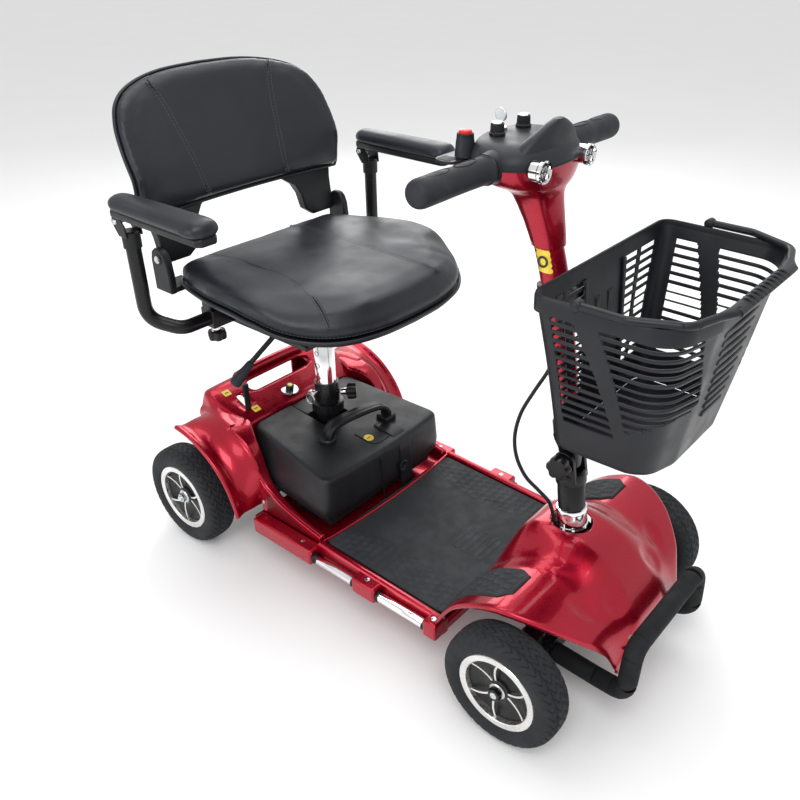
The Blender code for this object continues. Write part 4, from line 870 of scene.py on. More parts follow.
def arch_pads():
    """Rubber pads that climb from the mat over each front wheel arch."""
    for side, s in SIDES:
        rows = []
        length, across = 80, 40
        for j in range(length + 1):
            y = -0.2225 - 0.1245 * j / length
            row = []
            for i in range(across + 1):
                u = i / across
                end = ease((y + 0.347) / 0.022)
                inner = 0.112 + 0.01 * (1 - end)
                outer = 0.186 - 0.016 * (1 - end) - 0.016 * ease((y + 0.234) / 0.012)
                x = inner + (outer - inner) * u
                base = max(cowl_z(x, y), deck_z(y) - 0.001) if y < COWL_REAR_Y else deck_z(y)
                edge = min(x - inner, outer - x, y + 0.3475)
                height = 0.0026 * ease(edge / 0.0022) + 0.001 * (1 - ease(abs(edge - 0.0045) / 0.002))
                height += 0.0018 * scale_pattern(x, 0.6 * (y - base)) * ease((edge - 0.008) / 0.002)
                slope = (cowl_z(x, y - 0.002) - cowl_z(x, y + 0.002)) / 0.004
                lift = height / math.hypot(1.0, slope)
                row.append((s * x, y + lift * slope, base + lift))
            rows.append(row)
        thickened(piece(f"arch_pad_{side}", grid_mesh("arch_pad", rows), MAT, "chassis", (), 180), 0.0015)


def front_bumper():
    """The foam bumper and its stubs."""
    path = mm((100, -388, 78), (102, -460, 77), (113, -514, 90), (104, -514, 173))
    both = [(-x, y, z) for x, y, z in path] + path[::-1]
    tube(
        "bumper_foam", route(rounded(both, 0.026, 10), 0.004), 0.015, FOAM, "chassis", ["front_bumper"],
        resolution=8,
    )
    for side, s in SIDES:
        rod(
            f"bumper_stub_{side}", (s * 0.1, -0.356, 0.0785), (s * 0.1, -0.389, 0.078), 0.0095, SATIN,
            "chassis",
        )
        rod(
            f"bumper_end_{side}", (s * 0.1, -0.387, 0.078), (s * 0.1, -0.3905, 0.078), 0.0154, FOAM,
            "chassis", 0.002,
        )


# ---------------------------------------------------------------- rear cover and battery box

CHEEK_PROFILE = mm(
    (52, 125), (100, 134), (150, 148), (190, 169), (208, 192), (219, 220), (235, 242), (260, 256),
    (300, 262), (345, 263), (364, 260), (383.5, 255),
)
CHEEK_RIM = mm((50, 165), (156, 160.5), (228, 150.5), (249, 142.5), (275, 130), (300, 136), (384, 144))
MUDGUARD_ROOT = (
    (92, 0.158), (100, 0.166), (113, 0.176), (125, 0.186), (138, 0.19), (150, 0.184), (160, 0.172),
    (172, 0.16),
)
COVER_STATIONS = mm(
    (278, 127, 245), (280, 127.8, 248.2), (286, 130, 252), (300, 136, 258.2), (315, 140.5, 264.8),
    (330, 144, 271.2), (347, 145.8, 279), (364, 146, 285.8), (374, 145, 287.2), (380.5, 143, 286),
    (383.8, 140.5, 281.5),
)
MUDGUARD_START, MUDGUARD_END = 92, 172
CHEEK_HALF = 0.1768


def cover_half(y):
    """Half the width of the cover over its cheeks, which draw in toward the rear."""
    return CHEEK_HALF - 0.019 * ease((y - 0.29) / 0.095)


def cover_top():
    """The red top behind the battery box: it slopes up to the rear and rounds over into the cheeks."""
    rows = []
    for y, half, top in COVER_STATIONS:
        crest = through(CHEEK_PROFILE, y)
        out = cover_half(y)
        side = [
            (out, crest - 0.014), (out - 0.0004, crest - 0.005), (out - 0.0038, crest - 0.0008),
            (out - 0.0078, crest + 0.0006),
        ]
        side += [
            (min(half + 0.012, out - 0.01), (crest + top) / 2 - 0.002), (half + 0.003, top - 0.006),
            (half, top - 0.0012),
        ]
        side += [(half - 0.007, top + 0.0004), (half * 0.6, top + 0.0012), (half * 0.25, top + 0.0016)]
        rows.append(
            [(-x, y, z) for x, z in side] + [(0, y, top + 0.0016)] + [(x, y, z) for x, z in side[::-1]]
        )
    for low in (0.272, 0.25, 0.2, 0.16, 0.15):
        rows.append([(x, 0.384, min(z, low)) for x, y, z in rows[len(COVER_STATIONS) - 1]])
    for low in (0.242, 0.23, 0.19, 0.15):
        rows.insert(0, [(x, 0.2776, min(z, low)) for x, y, z in rows[0]])
    top = sheet("rear_top", rows, RED, "chassis", 0.003, 1, ["rear_cover"], 1.0)
    cut(top, "carry_slot_cutter", prism_mesh("carry_slot", stadium(0.15, 0.027), 0.09), (0, 0.34, 0.275))
    window = mm((-76, -30), (76, -30), (76, 30), (-76, 30))
    cut(top, "carry_window_cutter", prism_mesh("carry_window", window, 0.03, (0, 1, 0)), (0, 0.385, 0.24))
    cut(
        top, "lever_slot_cutter",
        prism_mesh("lever_slot", stadium(0.033, 0.013), 0.09, (0, 0, 1), math.pi / 2),
        (-0.104, 0.32, 0.265),
    )
    return top


def rear_mudguard(side, s):
    """A flared lip over the wheel, with a hollow fold between it and the cheek."""
    rows = []
    steps = 40
    for k in range(steps + 1):
        angle = MUDGUARD_START + (MUDGUARD_END - MUDGUARD_START) * k / steps
        a = math.radians(angle)
        root = through(MUDGUARD_ROOT, angle)
        draw = CHEEK_HALF - cover_half(REAR_AXLE_Y + root * math.cos(a))
        section = [(0.169 - draw, root), (0.1745 - draw, root - 0.0004), (0.18 - draw, root - 0.004)]
        for x, share in mm((190, 480), (201, 200), (212, 40)):
            section.append((x, 0.1545 + (root - 0.1545) * share))
        section += mm((221, 156), (227.5, 160.5), (232, 161.5), (235.2, 159), (235, 154.5), (232.5, 152))
        rows.append(
            [(s * x, REAR_AXLE_Y + r * math.cos(a), WHEEL_RADIUS + r * math.sin(a)) for x, r in section]
        )
    sheet(f"rear_mudguard_{side}", rows, RED, "chassis", 0.003, 1)


def rear_cheek(side, s):
    """The wall beside the wheel, with a rim that hugs the battery box."""
    rows = []
    for k in range(60):
        y = 0.052 + (0.3835 - 0.052) * k / 59
        crest = through(CHEEK_PROFILE, y)
        foot = max(0.112, min(0.14, crest - 0.01))
        rim = through(CHEEK_RIM, y)
        draw = CHEEK_HALF - cover_half(y)
        section = (
            (rim + 0.004, min(0.12, foot)), (rim + 0.0006, crest - 0.03 if crest > 0.16 else crest - 0.006),
            (rim, crest - 0.005), (rim + 0.0004, crest - 0.0018), (rim + 0.004, crest + 0.0003),
            (0.17, crest + 0.0006), (0.1745, crest - 0.0004), (CHEEK_HALF, crest - 0.0045),
            (0.1772, (crest + foot) / 2), (CHEEK_HALF, foot),
        )
        rows.append([(s * (x - draw if x > 0.168 else x), y, z) for x, z in section])
    sheet(f"rear_cheek_{side}", rows, RED, "chassis", 0.0026, 1)
    outline = mm((52, 112), (52, 124), (100, 133), (150, 147), (190, 168), (204, 182), (204, 112))
    gusset = solid_mesh("gusset", [[(s * x, y, z) for y, z in outline] for x in (0.174, 0.1785)])
    rounded_edges(piece(f"rear_gusset_{side}", gusset, RED, "chassis"), 0.0016)
    # A thin dark-red sheet on the gusset stands in for the shade in its recess: painted shade.
    outline = mm((80, 117), (112, 129), (160, 145), (186, 159), (190, 119))
    painted_shade_sheet = solid_mesh("gusset_painted_shade", [[(s * x, y, z) for y, z in outline] for x in (0.1785, 0.17885)])
    piece(f"rear_gusset_recess_{side}", painted_shade_sheet, PAINTED_RECESS_SHADE, "chassis")
    lathe(
        f"rear_screw_{side}", mm((0, 1.4), (3, 1.4), (4.2, 0.6), (4.4, -1)), (s * 0.1785, 0.2, 0.132),
        (s, 0, 0), ZINC, "chassis", 24,
    )


def rear_cover():
    """The red cover behind the battery box, its carry bar, its mudguards and its hold-down knob."""
    cover_top()
    bar = mm(
        (-83, 364, 284), (-80, 365.5, 293.5), (-70, 366, 297.5), (0, 366, 299), (70, 366, 297.5),
        (80, 365.5, 293.5), (83, 364, 284),
    )
    tube("rear_carry_bar", route(bar, 0.004), 0.0085, RED, "chassis", resolution=6)
    block("post_housing", (-0.0315, 0.224, 0.13), (0.0315, 0.2725, lid_z(0.245)), CASE, "chassis", 0.002)
    block("lever_slot_well", (-0.13, 0.3, 0.19), (-0.08, 0.378, 0.196), BLACK, "chassis", 0.001)
    block("bay_floor", (-0.15, 0.22, 0.113), (0.15, 0.3, 0.116), BLACK, "chassis", 0.001)
    for side, s in SIDES:
        rear_cheek(side, s)
        rear_mudguard(side, s)
    lathe(
        "cover_disc", mm((6, 1), (16.5, 1), (17.8, 0), (18, -1.5)), (-0.01, 0.296, 0.2625), (0, -0.2, 1),
        ZINC, "chassis", 48,
    )
    lathe(
        "cover_knob", mm((7.8, 0), (8.2, 9), (7.4, 10.4), (5, 10.6), (0, 10.6)), (-0.01, 0.296, 0.2625),
        (0, -0.2, 1), BLACK, "chassis", 40,
    )
    lathe(
        "cover_knob_cap", mm((4.8, 10.4), (4.6, 11.2), (0, 11.3)), (-0.01, 0.296, 0.2625), (0, -0.2, 1),
        LABEL, "chassis", 32,
    )
    for n, (x, y, z) in enumerate(((-0.12, 0.348, 0.2835), (-0.098, 0.293, 0.2605))):
        decal(f"rear_label_{n}", (x, y, z), (0, -0.4, 1), 0.015, 0.014, LABEL, "chassis")
        decal(f"rear_label_sign_{n}", (x, y, z + 0.0006), (0, -0.4, 1), 0.008, 0.0016, INK_AND_HOLE_SHADE, "chassis", 0.0003)


RING_POINTS = 128


def case_ring(z_of, front_half, front_y, bow, rear_half, rear_y, corner):
    """One level of the battery box: straight rear, slightly bowed front, round corners."""
    middle_y = front_y - bow
    front = [
        Vector((x * front_half, middle_y + (front_y - middle_y) * x * x, 0))
        for x in (-0.8, -0.55, -0.3, 0, 0.3, 0.55, 0.8)
    ]
    start = Vector(((front_half + rear_half) / 2, (front_y + rear_y) / 2, 0))
    corners = [
        Vector((rear_half, rear_y, 0)), Vector((-rear_half, rear_y, 0)), Vector((-front_half, front_y, 0)),
        *front, Vector((front_half, front_y, 0)),
    ]
    closed = rounded([start, *corners, start], corner, 8)
    return [Vector((p.x, p.y, z_of(p.y))) for p in spaced(closed, RING_POINTS)[:-1]]


LID_TOP, LID_SLOPE = 0.2212, 0.09


def lid_z(y):
    """The height of the lid's top."""
    return LID_TOP + LID_SLOPE * y


def box_shell():
    """The box and its lid, with sharp lid edges and a notch for the seat post."""
    rings = [
        case_ring(lambda y: deck_z(y) + 0.0005, 0.163, 0.052, 0.008, 0.158, 0.274, 0.022),
        case_ring(lambda y: 0.165 + 0.06 * y, 0.159, 0.0535, 0.008, 0.145, 0.2738, 0.022),
        case_ring(lambda y: lid_z(y) - 0.01, 0.1545, 0.0545, 0.0075, 0.1262, 0.2736, 0.02),
        case_ring(lambda y: lid_z(y) - 0.0058, 0.1537, 0.0549, 0.0075, 0.1248, 0.2735, 0.02),
    ]
    for inset, drop in mm((1.4, 2.4), (4, 0.4), (6.6, 0)):
        rings.append(
            case_ring(
                lambda y: lid_z(y) - drop, 0.1535 - inset, 0.055 + inset, 0.0075, 0.1245 - inset,
                0.2734 - inset * 0.6, 0.018,
            )
        )
    for shrink in (0.8, 0.5, 0.15):
        ring = [Vector((p.x * shrink, 0.17 + (p.y - 0.17) * shrink, 0)) for p in rings[6]]
        rings.append([Vector((p.x, p.y, lid_z(p.y))) for p in ring])
    case = piece(
        "battery_shell", solid_mesh("battery_shell", rings), CASE, "battery_box", ["battery_case"], 32,
    )
    subdivided(case, 1)
    notch = mm((-33, -200), (33, -200), (33, 200), (-33, 200))
    cut(case, "post_notch_cutter", prism_mesh("post_notch", notch, 0.4), (0, 0.166 + 0.2, 0.25))
    slot = mm((-52, 236), (52, 236), (52, 248), (-52, 248))
    cut(case, "hook_slot_cutter", prism_mesh("hook_slot", slot, 0.012), (0, 0, lid_z(0.242)))


def box_strap():
    """The raised band from the handle's far root, over the lid's front edge and down to the deck."""
    rows = []
    for y, z in (
        (0.112, lid_z(0.112) + 0.0022), (0.09, lid_z(0.09) + 0.0022), (0.064, lid_z(0.064) + 0.0022),
        (0.052, 0.2235), (0.0462, 0.215), (0.0445, 0.19), (0.043, 0.15), (0.0425, 0.12),
    ):
        rows.append([(x, y, z) for x in (0.03, 0.032, 0.045, 0.058, 0.06)])
    sheet("box_strap", rows, BLACK, "battery_box", 0.003, 1)
    lathe(
        "charge_port", mm((10.5, 0), (10.8, 2.2), (9.2, 3), (7.2, 2.2), (6.6, 0.4), (0, 0.4)),
        (0.033, 0.0425, 0.17), (0, -1, 0.06), BLACK, "battery_box", 40,
    )
    groove = mm((-14, 118, 0), (-14, 86, 0), (-12, 74, 0), (0, 68, 0), (20, 68, 0), (29, 70, 0))
    groove = [Vector((p.x, p.y, lid_z(p.y) + 0.0002)) for p in rounded(groove, 0.01, 6)]
    tube("lid_groove", route(groove, 0.005), 0.0012, BLACK, "battery_box")
    edge = mm((-20, 48, 218), (-20.5, 45.2, 205), (-20, 44, 170), (-18, 43.2, 124))
    tube("front_groove", route(edge, 0.005), 0.0012, BLACK, "battery_box")


def box_handle():
    """A flat fluted band arched low over the lid."""
    arch = mm(
        (-64, 138, 236), (-61, 137, 252), (-45, 134, 264), (0, 125, 268.5), (46, 117, 266), (65, 113, 253),
        (68, 112.5, 235),
    )
    path = route(arch, 0.0028)
    rows = []
    for i, point in enumerate(path):
        ahead = heading(path, i)
        across = Vector((0.17, 1.0, 0.0)).normalized()
        lift = ahead.cross(across).normalized()
        ring = []
        for k in range(40):
            a = around(k, 40)
            flute = 0.0006 * math.cos(8 * math.cos(a)) * (1 if abs(math.sin(a)) > 0.3 else 0)
            ring.append(
                point + across * (0.013 * curved(math.cos(a), 0.6)) + lift * (
                    (0.0052 + flute) * curved(math.sin(a), 0.6)
                )
            )
        rows.append(ring)
    piece("battery_handle", solid_mesh("battery_handle", rows), BLACK, "battery_box", (), 50)
    lathe(
        "handle_root", mm((16, -8), (16, 6), (14, 8.2), (0, 8.8)), (-0.064, 0.138, 0.234), (0, 0, 1), BLACK,
        "battery_box", 40,
    )
    block("handle_far_root", (0.053, 0.097, 0.224), (0.08, 0.127, 0.241), BLACK, "battery_box", 0.004)


def battery_box():
    """The removable battery box with its sloping lid."""
    box_shell()
    box_strap()
    box_handle()
    lathe(
        "box_label", mm((9.5, 0), (9.5, 0.5), (0, 0.6)), (-0.004, 0.092, lid_z(0.092)), (0, -LID_SLOPE, 1),
        LABEL, "battery_box", 40,
    )
    decal(
        "box_label_sign", (-0.004, 0.092, lid_z(0.092) + 0.0008), (0, -LID_SLOPE, 1), 0.0085, 0.0016, INK_AND_HOLE_SHADE,
        "battery_box", 0.0004,
    )


def battery_and_drive_nodes():
    """The hidden working parts keep their own shape and take on a finish."""
    for name, material in (
        ("battery_pack", CASE),
        ("controller", ALLOY),
        ("transaxle_motor", SATIN),
        ("main_frame", SATIN),
        ("tie_rod", ZINC),
        ("knuckle_right", SATIN),
        ("knuckle_left", SATIN),
    ):
        node = bpy.data.objects[name]
        for slot in node.material_slots:
            slot.material = material


# ---------------------------------------------------------------- steering column

COLUMN_PATH = mm(
    (0, -326.2, 365), (0, -310.5, 450), (0, -293, 550), (0, -274, 640), (0, -256, 700), (0, -230, 782),
)
CABLE_ROUTE = mm(
    (-26, -302, 540), (-27, -290, 510), (-28, -270, 470), (-30, -252, 428), (-30, -244, 385),
    (-29, -249, 348), (-27, -266, 318), (-23, -288, 300), (-19, -305, 285), (-16.5, -312, 268),
    (-15, -317, 245), (-14.5, -320, 215),
)
CABLE_RADIUS = 0.0029
TILT_HINGE = (0.0, -0.3263, 0.365)


def steering_stem():
    """The stem, its chrome collar and the tilt yoke."""
    bottom, top = stem_point(0.19), stem_point(0.34)
    rod("stem_tube", bottom, top, 0.0212, SATIN, "steering", 0.001, 48, ["steering_stem"])
    collar = mm(
        (21.5, -17), (24.8, -17), (25, -13.5), (23.6, -12.5), (23.4, 8.5), (24.6, 9.8), (24.8, 14),
        (24, 16.5), (21.4, 17.2),
    )
    lathe("stem_collar", collar, tuple(stem_point(0.264)), STEM_AXIS, CHROME, "steering", 64)
    lathe(
        "stem_upper_ring", mm((21.3, -8), (23.6, -7), (23.8, 6), (22.2, 10), (19, 12), (0, 12)),
        tuple(stem_point(0.333)), STEM_AXIS, SATIN, "steering", 48,
    )
    for n, s in enumerate((-1, 1)):
        outline = []
        for k in range(19):
            a = math.pi * k / 18
            outline.append((0.0165 * math.cos(a), 0.0355 + 0.0135 * math.sin(a)))
        outline += [(-0.019, 0.0), (0.019, 0.0)]
        rows = []
        for x in (0.0122, 0.019):
            rows.append([(s * x, stem_point(0.333 + z).y - y * 0.99, 0.333 + z) for y, z in outline])
        rounded_edges(piece(f"tilt_yoke_{n}", solid_mesh("yoke", rows), SATIN, "steering"), 0.0012)
    rod("tilt_nut", (0.019, *TILT_HINGE[1:]), (0.0262, *TILT_HINGE[1:]), 0.0082, ZINC, "steering", 0.0012, 6)


def tiller_column():
    """The tiller column, its foot and its label."""
    path = route(COLUMN_PATH, 0.008)
    tube(
        "column_tube", [p for p in path if 0.388 < p.z], 0.02, RED, "tiller", ["tiller_column"],
        resolution=10,
    )
    rows = []
    for z, half, depth in mm(
        (352, 11.2, 10), (356, 11.5, 14.5), (366, 11.7, 16.5), (380, 11.8, 17.5), (388, 15, 19),
        (396, 18.5, 20.5), (404, 20.5, 21),
    ):
        centre = -0.3262 + (z - 0.365) * 0.17
        ring = []
        for k in range(32):
            a = around(k, 32)
            c, d = math.cos(a), math.sin(a)
            ring.append(
                (
                    curved(c, 0.6) * half,
                    centre + curved(d, 0.6) * depth, z,
                )
            )
        rows.append(ring)
    piece("column_foot", solid_mesh("column_foot", rows), SATIN, "tiller")
    lathe(
        "column_foot_ring", mm((20.2, -12), (22.2, -11), (22.2, 10), (20.4, 12)), (0, -0.3165, 0.418),
        (0, 0.182, 1), SATIN, "tiller", 48,
    )
    sticker_rows = []
    for j in range(9):
        t = j / 8
        z = 0.653 + 0.031 * t
        centre = path[min(range(len(path)), key=lambda i: abs(path[i].z - z))]
        row = []
        for i in range(13):
            a = math.radians(-123 + 64 * i / 12)
            row.append(Vector((0.02045 * math.sin(a), centre.y + 0.02045 * math.cos(a), z)))
        sticker_rows.append(row)
    piece("column_label", grid_mesh("column_label", sticker_rows), LABEL, "tiller", (), 180)
    a = math.radians(-91)
    centre = path[min(range(len(path)), key=lambda i: abs(path[i].z - 0.668))]
    place = (0.02095 * math.sin(a), centre.y + 0.02095 * math.cos(a), 0.668)
    lathe(
        "column_label_sign", mm((8.2, 0), (8.2, 0.5), (5.2, 0.5), (5.2, 0)), place,
        (math.sin(a), math.cos(a), 0.0), INK_AND_HOLE_SHADE, "tiller", 32,
    )


def head_ring(z, half, front, rear, count=64, power=2.5):
    """One level of the head: a rounded rectangle."""
    ring = []
    for k in range(count):
        a = around(k, count)
        c, d = math.cos(a), math.sin(a)
        x = curved(c, 2 / power) * half
        y = (front + rear) / 2 + curved(d, 2 / power) * (rear - front) / 2
        ring.append((x, y, z))
    return ring


def head_shells():
    """The head: red neck, grey top, visor, horn cone and bar ends."""
    lower = mm(
        (686, 21.2, -281.5, -239.2), (686.5, 22.6, -282.8, -238), (700, 24, -281, -233),
        (720, 26.8, -277, -224), (740, 31, -272.5, -213.5), (753, 35.5, -270, -206),
        (761.5, 44, -270, -196), (766, 56, -272, -188), (771, 66.5, -273, -179), (778, 75, -274, -170),
        (788, 81, -275, -163), (796.5, 84, -275, -160),
    )
    piece(
        "head_lower", solid_mesh("head_lower", [head_ring(*row) for row in lower]), RED, "tiller",
        ["head_lower_shell"], 60,
    )
    upper = mm(
        (797.2, 84.2, -275.2, -159.8), (803, 84.5, -275.2, -159.2), (808, 83, -274, -160),
        (813.5, 79, -271.5, -160.5), (818, 74, -268, -162), (821.5, 67, -263, -164),
        (823.5, 60, -258, -166), (824.5, 45, -250, -171),
    )
    piece(
        "head_upper", solid_mesh("head_upper", [head_ring(*row) for row in upper]), GREY, "tiller",
        ["head_upper_shell"], 60,
    )
    seam = [Vector(p) for p in head_ring(0.7968, 0.0846, -0.2756, -0.1594)]
    tube("head_seam", seam, 0.0009, BLACK, "tiller", cyclic=True)
    rows = []
    for z, half, front, rear in mm(
        (815, 66, -268, -220), (823, 58, -268, -230), (832, 48, -268, -240), (839, 36, -267.7, -246),
        (846, 22, -267.5, -251), (851, 9, -267, -256),
    ):
        rows.append(head_ring(z, half, front, rear, 48, 2.2))
    piece("head_visor", solid_mesh("head_visor", rows), GREY, "tiller", (), 50)
    lathe(
        "horn_cone", mm((13.6, 0), (12.2, 18), (10.6, 28.5), (9.8, 29.5), (0, 29.5)), (*HORN_PLACE, 0.8),
        (0, 0, 1), GREY, "tiller", 48,
    )
    lathe(
        "horn_band", mm((10.65, 0), (11.3, 0.8), (11, 4.6), (10.2, 5.4)), (*HORN_PLACE, 0.824), (0, 0, 1),
        BLACK, "tiller", 48,
    )
    for side, s in SIDES:
        arm = mm((21.5, -6), (20.2, 3), (19, 9))
        lathe(f"head_arm_{side}", arm, (s * 0.077, BAR_Y, HEAD_Z), (s, 0, 0), GREY, "tiller", 48)
        lathe(
            f"grip_collar_{side}", mm((17.8, -2), (19.4, -1), (19.6, 3), (18.4, 4)),
            (s * 0.088, BAR_Y, HEAD_Z), (s, 0, 0), BLACK, "tiller", 48,
        )


def grips():
    """The rubber grips."""
    for side, s in SIDES:
        outline = mm(
            (17.2, 0), (18.2, 2), (18.4, 7), (17.6, 12), (17.2, 52), (17.7, 96), (18, 124), (17.4, 132),
            (15.4, 137), (11.2, 140.2), (5, 140.9), (0, 141),
        )
        lathe(
            f"grip_sleeve_{side}", [(p.x, p.y) for p in route([(r, h, 0) for r, h in outline], 0.003)],
            (s * 0.0875, BAR_Y, HEAD_Z), (s, 0, 0), GRIP, "tiller", 64, [f"grip_{side}"], 50,
        )
        for n, (start, end) in enumerate(((0.024, 0.066), (0.076, 0.118))):
            pad = [
                Vector(
                    (
                        s * (0.0875 + (start + end) / 2 + (end - start) / 2 * math.cos(around(k, 40))),
                        BAR_Y + 0.0064 * math.sin(around(k, 40)), 0,
                    )
                )
                for k in range(40)
            ]
            pad = [Vector((p.x, p.y, HEAD_Z + math.sqrt(0.0175**2 - (p.y - BAR_Y) ** 2))) for p in pad]
            tube(f"grip_relief_{side}_{n}", pad, 0.0007, GRIP, "tiller", cyclic=True, resolution=2)


def head_details():
    """Headlights, knobs, key, horn button and throttle paddle."""
    for side, s in SIDES:
        place = (s * 0.0545, -0.2745, HEAD_Z)
        bezel = mm((13, -10), (13.4, 1), (14.6, 3), (14.6, 6.6), (13.6, 7.8), (12, 6.8), (11.2, 4))
        lathe(
            f"headlight_bezel_{side}", bezel, place, (0, -1, 0.02), CHROME, "tiller", 56,
            [f"headlight_{side}"],
        )
        lathe(
            f"headlight_face_{side}", mm((11.3, 2), (10.8, 3.2), (6, 3.8), (0, 4)), place, (0, -1, 0.02),
            LENS, "tiller", 40,
        )
        for n, (dx, dz) in enumerate(((-1, -1), (1, -1), (-1, 1), (1, 1))):
            hole = (place[0] + dx * 0.004, place[1] - 0.0038, place[2] + dz * 0.004)
            lathe(
                f"headlight_cell_{side}_{n}", mm((3, 0), (3, 0.6), (2.2, 0.7), (1.9, -0.6), (0, -0.8)),
                hole, (0, -1, 0.02), CHROME, "tiller", 20,
            )
    for name, x in (("speed_knob", -0.03), ("light_knob", 0.03)):
        rows = []
        for k in range(96):
            a = around(k, 96)
            bite = 0.0005 * (1 if (k // 2) % 2 else 0)
            outline = (
                (0.0106, 0.0002), (0.0106, 0.0028), (0.0095, 0.0038), (0.0092 - bite, 0.0046),
                (0.0088 - bite, 0.0136), (0.008, 0.015), (0.007, 0.0152),
            )
            rows.append([(r * math.cos(a), r * math.sin(a), h) for r, h in outline])
        piece(
            f"{name}_skirt", grid_mesh(name, rows, round_rows=True), BLACK, name, [name], 25,
            (x, KNOB_Y, HEAD_TOP_Z),
        )
        lathe(
            f"{name}_top", mm((7.8, 14.8), (7.6, 16), (6.6, 16.6), (4.4, 16.2), (0, 16.2)),
            (x, KNOB_Y, HEAD_TOP_Z), (0, 0, 1), ALLOY, name, 40,
        )
        block(
            f"{name}_mark", (x - 0.0006, -0.199, 0.8385), (x + 0.0006, -0.1965, 0.8421), THREAD, name,
            0.0003,
        )
    lathe(
        "key_barrel", mm((8.8, -1), (8.8, 2.2), (7.6, 3.2), (4.6, 3.2), (4.2, 2.4), (0, 2.4)),
        (*KEY_PLACE, HEAD_TOP_Z), (0, 0, 1), CHROME, "tiller", 40,
    )
    block(
        "key_blade", (-0.001, -0.1775, 0.827), (0.001, -0.1705, 0.8365), ZINC, "key", 0.0003,
        replaces=["ignition_key"],
    )
    head = prism_mesh("key_head", circle(0.009, 40), 0.0028, (1, 0, 0))
    key = piece("key_head", head, ZINC, "key", (), 35, (*KEY_PLACE, 0.843))
    rounded_edges(key, 0.0008)
    lathe(
        "horn_cap", mm((8.6, -0.5), (8.6, 2.2), (7.6, 3.6), (4.4, 4.4), (0, 4.6)), (*HORN_PLACE, 0.8295),
        (0, 0, 1), RED_BUTTON, "horn_button", 40, ["horn_button"],
    )
    paddle = []
    for sign in (-1, 1):
        for k in range(9):
            a = math.radians(-90 + 180 * k / 8)
            paddle.append((sign * (0.081 + 0.0165 * math.cos(a)), -0.152 + sign * 0.0185 * math.sin(a)))
    slab(
        "throttle_blade", paddle, HEAD_Z - 0.002, HEAD_Z + 0.002, BLACK, "throttle", 0.0009, 2,
        ["throttle_paddle"],
    )
    decal(
        "throttle_grip_0", (-0.083, -0.15, HEAD_Z + 0.0021), (0, 0, 1), 0.02, 0.022, GRIP, "throttle",
        0.005,
    )
    decal("throttle_grip_1", (0.083, -0.15, HEAD_Z + 0.0021), (0, 0, 1), 0.02, 0.022, GRIP, "throttle", 0.005)


def star_knob(
    name, base, axis, body, radius, length, stem=0.01, lobes=5, cap=None, replaces=(), stem_material=None,
):
    """A lobed hand knob on a round shank."""
    turn = Vector(axis).to_track_quat("Z", "Y")
    rows = []
    for k in range(120):
        a = around(k, 120)
        dip = 0.17 * (0.5 - 0.5 * math.cos(lobes * a)) ** 1.5
        outline = (
            (0.55, stem), (0.9, stem + 0.001), (1.0, stem + 0.004), (1.0, length - 0.004),
            (0.92, length - 0.001), (0.66, length), (0.0, length),
        )
        rows.append(
            [
                turn @ Vector(
                    (
                        radius * f * (1 - dip * min(f, 1)) * math.cos(a),
                        radius * f * (1 - dip * min(f, 1)) * math.sin(a), h,
                    )
                )
                for f, h in outline
            ]
        )
    piece(name, grid_mesh(name, rows, round_rows=True), BLACK, body, replaces, 40, base)
    lathe(
        f"{name}_shank",
        [
            (0.34 * radius, 0.0), (0.36 * radius, 0.001), (0.4 * radius, stem * 0.8),
            (0.56 * radius, stem + 0.0005),
        ],
        base, axis, stem_material or CHROME, body, 32,
    )
    if cap:
        place = Vector(base) + Vector(axis).normalized() * (length - 0.0004)
        lathe(f"{name}_cap", mm((6, 0), (5.6, 0.8), (0, 1)), tuple(place), axis, cap, body, 32)


def control_cable():
    """The cable from the head to the stem: it bows out behind the column."""
    rows = []
    path = route(CABLE_ROUTE, 0.0045)
    side = Vector((1, 0, 0))
    for i, point in enumerate(path):
        ahead = heading(path, i)
        lift = ahead.cross(side).normalized()
        across = lift.cross(ahead).normalized()
        rows.append(
            [at(*(point + across * x + lift * y)) for x, y in circle(CABLE_RADIUS, 16)]
        )
    cable = linked("cable_jacket", solid_mesh("cable_jacket", rows))
    cable.data.materials.append(BLACK)
    cable.data.shade_smooth()
    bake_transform(cable)
    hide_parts("control_cable")
    lathe(
        "cable_gland", mm((3, -6), (5.2, -5), (5.2, 4), (3.6, 8), (3, 8)), CABLE_ROUTE[0], (0.0, 0.3, 1.0),
        BLACK, "tiller", 24,
    )


# ---------------------------------------------------------------- basket

BASKET_RINGS = mm(
    (465, 118, -360, -505), (580, 143, -353, -524), (670, 166, -347, -537), (695, 172, -344.5, -542),
)
BASKET_TOP = 0.6945


def basket_size(z):
    """Half the basket's width, and where its back and its front lie, at a height."""
    return [through([(row[0], row[i]) for row in BASKET_RINGS], z) for i in (1, 2, 3)]


def basket_outline(z, count=220, grow=0.0):
    """The basket's wall at a height, seen from above: a flat back and round front corners."""
    half, back, front = basket_size(z)
    half, back, front = half + grow, back + grow, front - grow
    side = (half, back - 0.055, 0)
    rear_corner = rounded([(0, back, 0), (half, back, 0), side], 0.02, 6)
    front_corner = rounded(
        [
            side, (half * 0.985, front + 0.035, 0), (half * 0.86, front + 0.012, 0), (half * 0.5, front, 0),
            (0, front, 0),
        ],
        0.04, 10,
    )
    one_side = spaced(rear_corner[:-1] + front_corner, count // 2)
    other = [Vector((-p.x, p.y, 0)) for p in one_side[-2:0:-1]]
    return one_side + other


